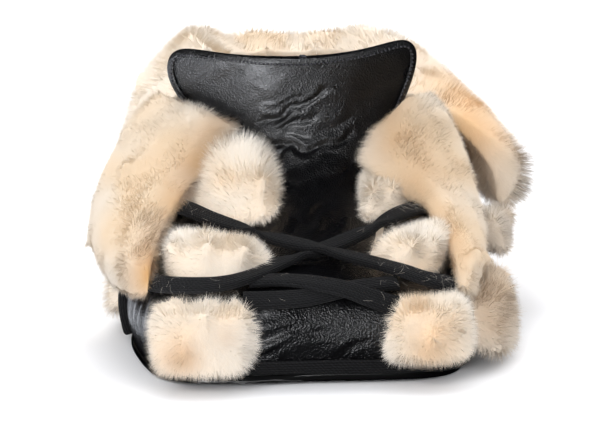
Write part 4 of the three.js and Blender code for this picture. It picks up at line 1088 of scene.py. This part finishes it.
def shine(name, stands_at, aim, width, depth, power, colour, lights):
    """Sets up one softbox."""
    light = bpy.data.lights.new(name, "AREA")
    light.shape = "ELLIPSE"
    light.size, light.size_y = width, depth
    light.energy = power
    light.color = linear(colour)[:3]
    stand = link(name, light)
    stand.location = stands_at
    stand.visible_camera = False
    stand.visible_diffuse = lights == "matt"
    stand.visible_glossy = lights == "gloss"
    stand.rotation_euler = (Vector(aim) - Vector(stands_at)).to_track_quat("-Z", "Y").to_euler()


# ---------------------------------------------------------------- the add-on

def dressed(piece, finish, nodes=()):
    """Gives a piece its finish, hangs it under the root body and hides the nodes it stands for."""
    wear(piece, finish)
    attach(piece, "root")
    if nodes:
        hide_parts(*nodes)


def colour_of(name, description, hex_colour):
    """A colour that a user can change."""
    return bpy.props.FloatVectorProperty(
        name=name, description=description, default=linear(hex_colour)[:3], min=0, max=1, subtype="COLOR"
    )


def length_of(name, description, millimetres):
    """A length that a user can change, from a third to three times its own."""
    size = millimetres * MM
    return bpy.props.FloatProperty(
        name=name, description=description, default=size, min=size / 3, max=size * 3, precision=5,
        subtype="DISTANCE", unit="LENGTH",
    )


class BootLook(bpy.types.PropertyGroup):
    """Sizes and colours to set before the pieces are made"""

    hide: colour_of("Hide", "Dyed black of the leather", HIDE_BLACK)
    worn_hide: colour_of("Worn hide", "Leather where it is rubbed", HIDE_WORN)
    grain: length_of("Grain", "Width of a pebble of the leather's grain", GRAIN)
    stitch_pitch: length_of("Stitch pitch", "Distance from stitch to stitch on the binding", STITCH_PITCH)
    tape: colour_of("Tape", "Tape and lace in their grooves", TAPE_BLACK)
    # The tape crown colour is a painted highlight on the crown of each rib.
    tape_crown_highlight: colour_of("Tape crown", "Tape and lace on the crown of a rib", TAPE_CROWN_HIGHLIGHT)
    lace_width: length_of("Lace width", "Width of the flat lace", LACE_WIDTH)
    wool_tip: colour_of("Wool tip", "Wool at the tips of its hairs", WOOL_TIP)
    # The wool root colour is warmer than the tip and darker as painted shade among the hairs.
    wool_shaded_root: colour_of("Wool root", "Wool down at the hide", WOOL_SHADED_ROOT)
    # Peach wool is the fleece's own colour and also painted shade on a lapel's end and the outer side pads.
    wool_peach_and_shade: colour_of("Peach wool", "Warm patches of the fleece", WOOL_PEACH_AND_SHADE)
    # Ochre wool is golden fringe and also painted shade on rolled edges and shaded pads.
    wool_ochre_and_shade: colour_of("Ochre wool", "Darkest golden patches of the fleece", WOOL_OCHRE_AND_SHADE)
    # Grey wool is painted shade where the fleece lies in shadow.
    wool_shade_grey: colour_of("Grey wool", "Dull patches of the fleece", WOOL_SHADE_GREY)
    nap: bpy.props.FloatProperty(
        name="Nap", description="Length of the fleece's hairs as a share of the usual length",
        default=1, min=0.2, max=1.6, subtype="FACTOR",
    )


def finish_named(name, make, look):
    return bpy.data.materials.get(name) or make(look)


class BOOT_OT_stage(bpy.types.Operator):
    """Lay the backdrop and set the softboxes and the camera"""

    bl_idname = "boot.stage"
    bl_label = "Stage, lights and camera"

    def execute(self, context):
        backdrop()
        for lamp in LAMPS:
            shine(*lamp)
        world = bpy.data.worlds.new("studio_air")
        world.use_nodes = True
        air = world.node_tree.nodes["Background"].inputs
        air["Color"].default_value = linear(AIR)
        air["Strength"].default_value = AIR_STRENGTH
        context.scene.world = world
        world.cycles_visibility.glossy = False
        context.scene.view_settings.view_transform = "Standard"
        camera = bpy.data.cameras.new("boot_camera")
        camera.lens = LENS
        camera.sensor_width = SENSOR
        holder = link("boot_camera", camera)
        holder.location = place(*CAMERA_PLACE)
        holder.rotation_euler = (math.radians(90 - CAMERA_DIP), 0, 0)
        context.scene.camera = holder
        return {"FINISHED"}


class BOOT_OT_leather(bpy.types.Operator):
    """Make the upper, the tongue with its binding, stitches and knot, and the sole"""

    bl_idname = "boot.leather"
    bl_label = "Leather pieces"

    def execute(self, context):
        look = context.scene.boot_look
        hide = finish_named("drum_dyed_pebbled_calf", pebbled_leather, look)
        for node, (name, levels, hold, finer, folds) in SKINS.items():
            piece = smooth_copy(node, name, levels, hold, finer)
            for side, rows in folds.items():
                press(piece, rows, side)
            if node == "outsole":
                dressed(piece, sole_edge(), [node])
            else:
                dressed(piece, hide, [node])
        flare = tree_of("tongue_panel", "folded_binding")
        waxed = thread()
        seam = inset_line(FLARE_EDGE, STITCH_INSET)
        stitches = stitch_row(flare, seam, look.stitch_pitch / MM, "binding_stitches")
        dressed(stitches, waxed)
        dressed(thread_knot(flare), waxed)
        return {"FINISHED"}


class BOOT_OT_tapes(bpy.types.Operator):
    """Make the rand, the side binding and every run of the lace"""

    bl_idname = "boot.tapes"
    bl_label = "Tapes and lace"

    def execute(self, context):
        look = context.scene.boot_look
        cotton = finish_named("ribbed_cotton_tape", woven_tape, look)
        skin = tree_of("stitched_upper", "tongue_panel")
        lace = tape_section(look.lace_width / MM, LACE_THICKNESS, LACE_RIBS)
        rand = tape_section(RAND_HEIGHT, RAND_THICKNESS, RAND_RIBS)
        strip = tape_section(STRIP_WIDTH, STRIP_THICKNESS, RAND_RIBS, -STRIP_THICKNESS / 2 + STRIP_PROUD)
        front = [tape_along("lace_" + run, route, skin, lace) for run, route in LACE_RUNS.items()]
        dressed(joined("lace_across_front", front), cotton, ["lace_front"])
        bands = {
            "rand_tape": ("rand", rand, round_from(*RAND_GAP)),
            "side_binding": ("side_tape", strip, lambda shoe: shoe[:, 2]),
            "lace_wrap_low": ("lace_round_low", lace, round_from(*LACE_GAP)),
            "lace_wrap_high": ("lace_round_high", lace, round_from(*LACE_GAP)),
        }
        for node, (name, section, key) in bands.items():
            route = to_shoe(stations_of(node, key))
            dressed(tape_along(name, route, skin, section), cotton, [node])
        return {"FINISHED"}


class BOOT_OT_fleece(bpy.types.Operator):
    """Grow the shearling of the cuffs, the pads, the insole and the lining"""

    bl_idname = "boot.fleece"
    bl_label = "Shearling"

    def execute(self, context):
        look = context.scene.boot_look
        wool = finish_named("combed_lambswool", shearling_wool, look)
        tree = tree_of("stitched_upper", "tongue_panel", "rand", "sole")
        lace = tree_of("lace_across_front")
        for seed, (name, nodes, coat) in enumerate(FLEECES):
            coat = coat._replace(length=coat.length * look.nap)
            body, nap = fleece(name, soft_body(nodes, name, coat.sink), coat, tree, lace, seed)
            dressed(body, wool, nodes)
            dressed(nap, wool)
        dressed(stray_wool(tree), wool)
        for made in fleece("lining", lining_body(), LINING, tree, lace, len(FLEECES)):
            dressed(made, wool)
        return {"FINISHED"}


class BOOT_PT_panel(bpy.types.Panel):
    bl_label = "Boot"
    bl_idname = "BOOT_PT_panel"
    bl_space_type = "VIEW_3D"
    bl_region_type = "UI"
    bl_category = "Boot"

    def draw(self, context):
        for setting in BootLook.__annotations__:
            self.layout.prop(context.scene.boot_look, setting)
        for operator in OPERATORS:
            self.layout.operator(operator.bl_idname)


OPERATORS = (BOOT_OT_stage, BOOT_OT_leather, BOOT_OT_tapes, BOOT_OT_fleece)
CLASSES = (BootLook, *OPERATORS, BOOT_PT_panel)


def register():
    for made in CLASSES:
        bpy.utils.register_class(made)
    bpy.types.Scene.boot_look = bpy.props.PointerProperty(type=BootLook)


def unregister():
    del bpy.types.Scene.boot_look
    for made in reversed(CLASSES):
        bpy.utils.unregister_class(made)


def main():
    register()
    bpy.ops.boot.stage()
    bpy.ops.boot.leather()
    bpy.ops.boot.tapes()
    bpy.ops.boot.fleece()


if __name__ == "__main__":
    main()
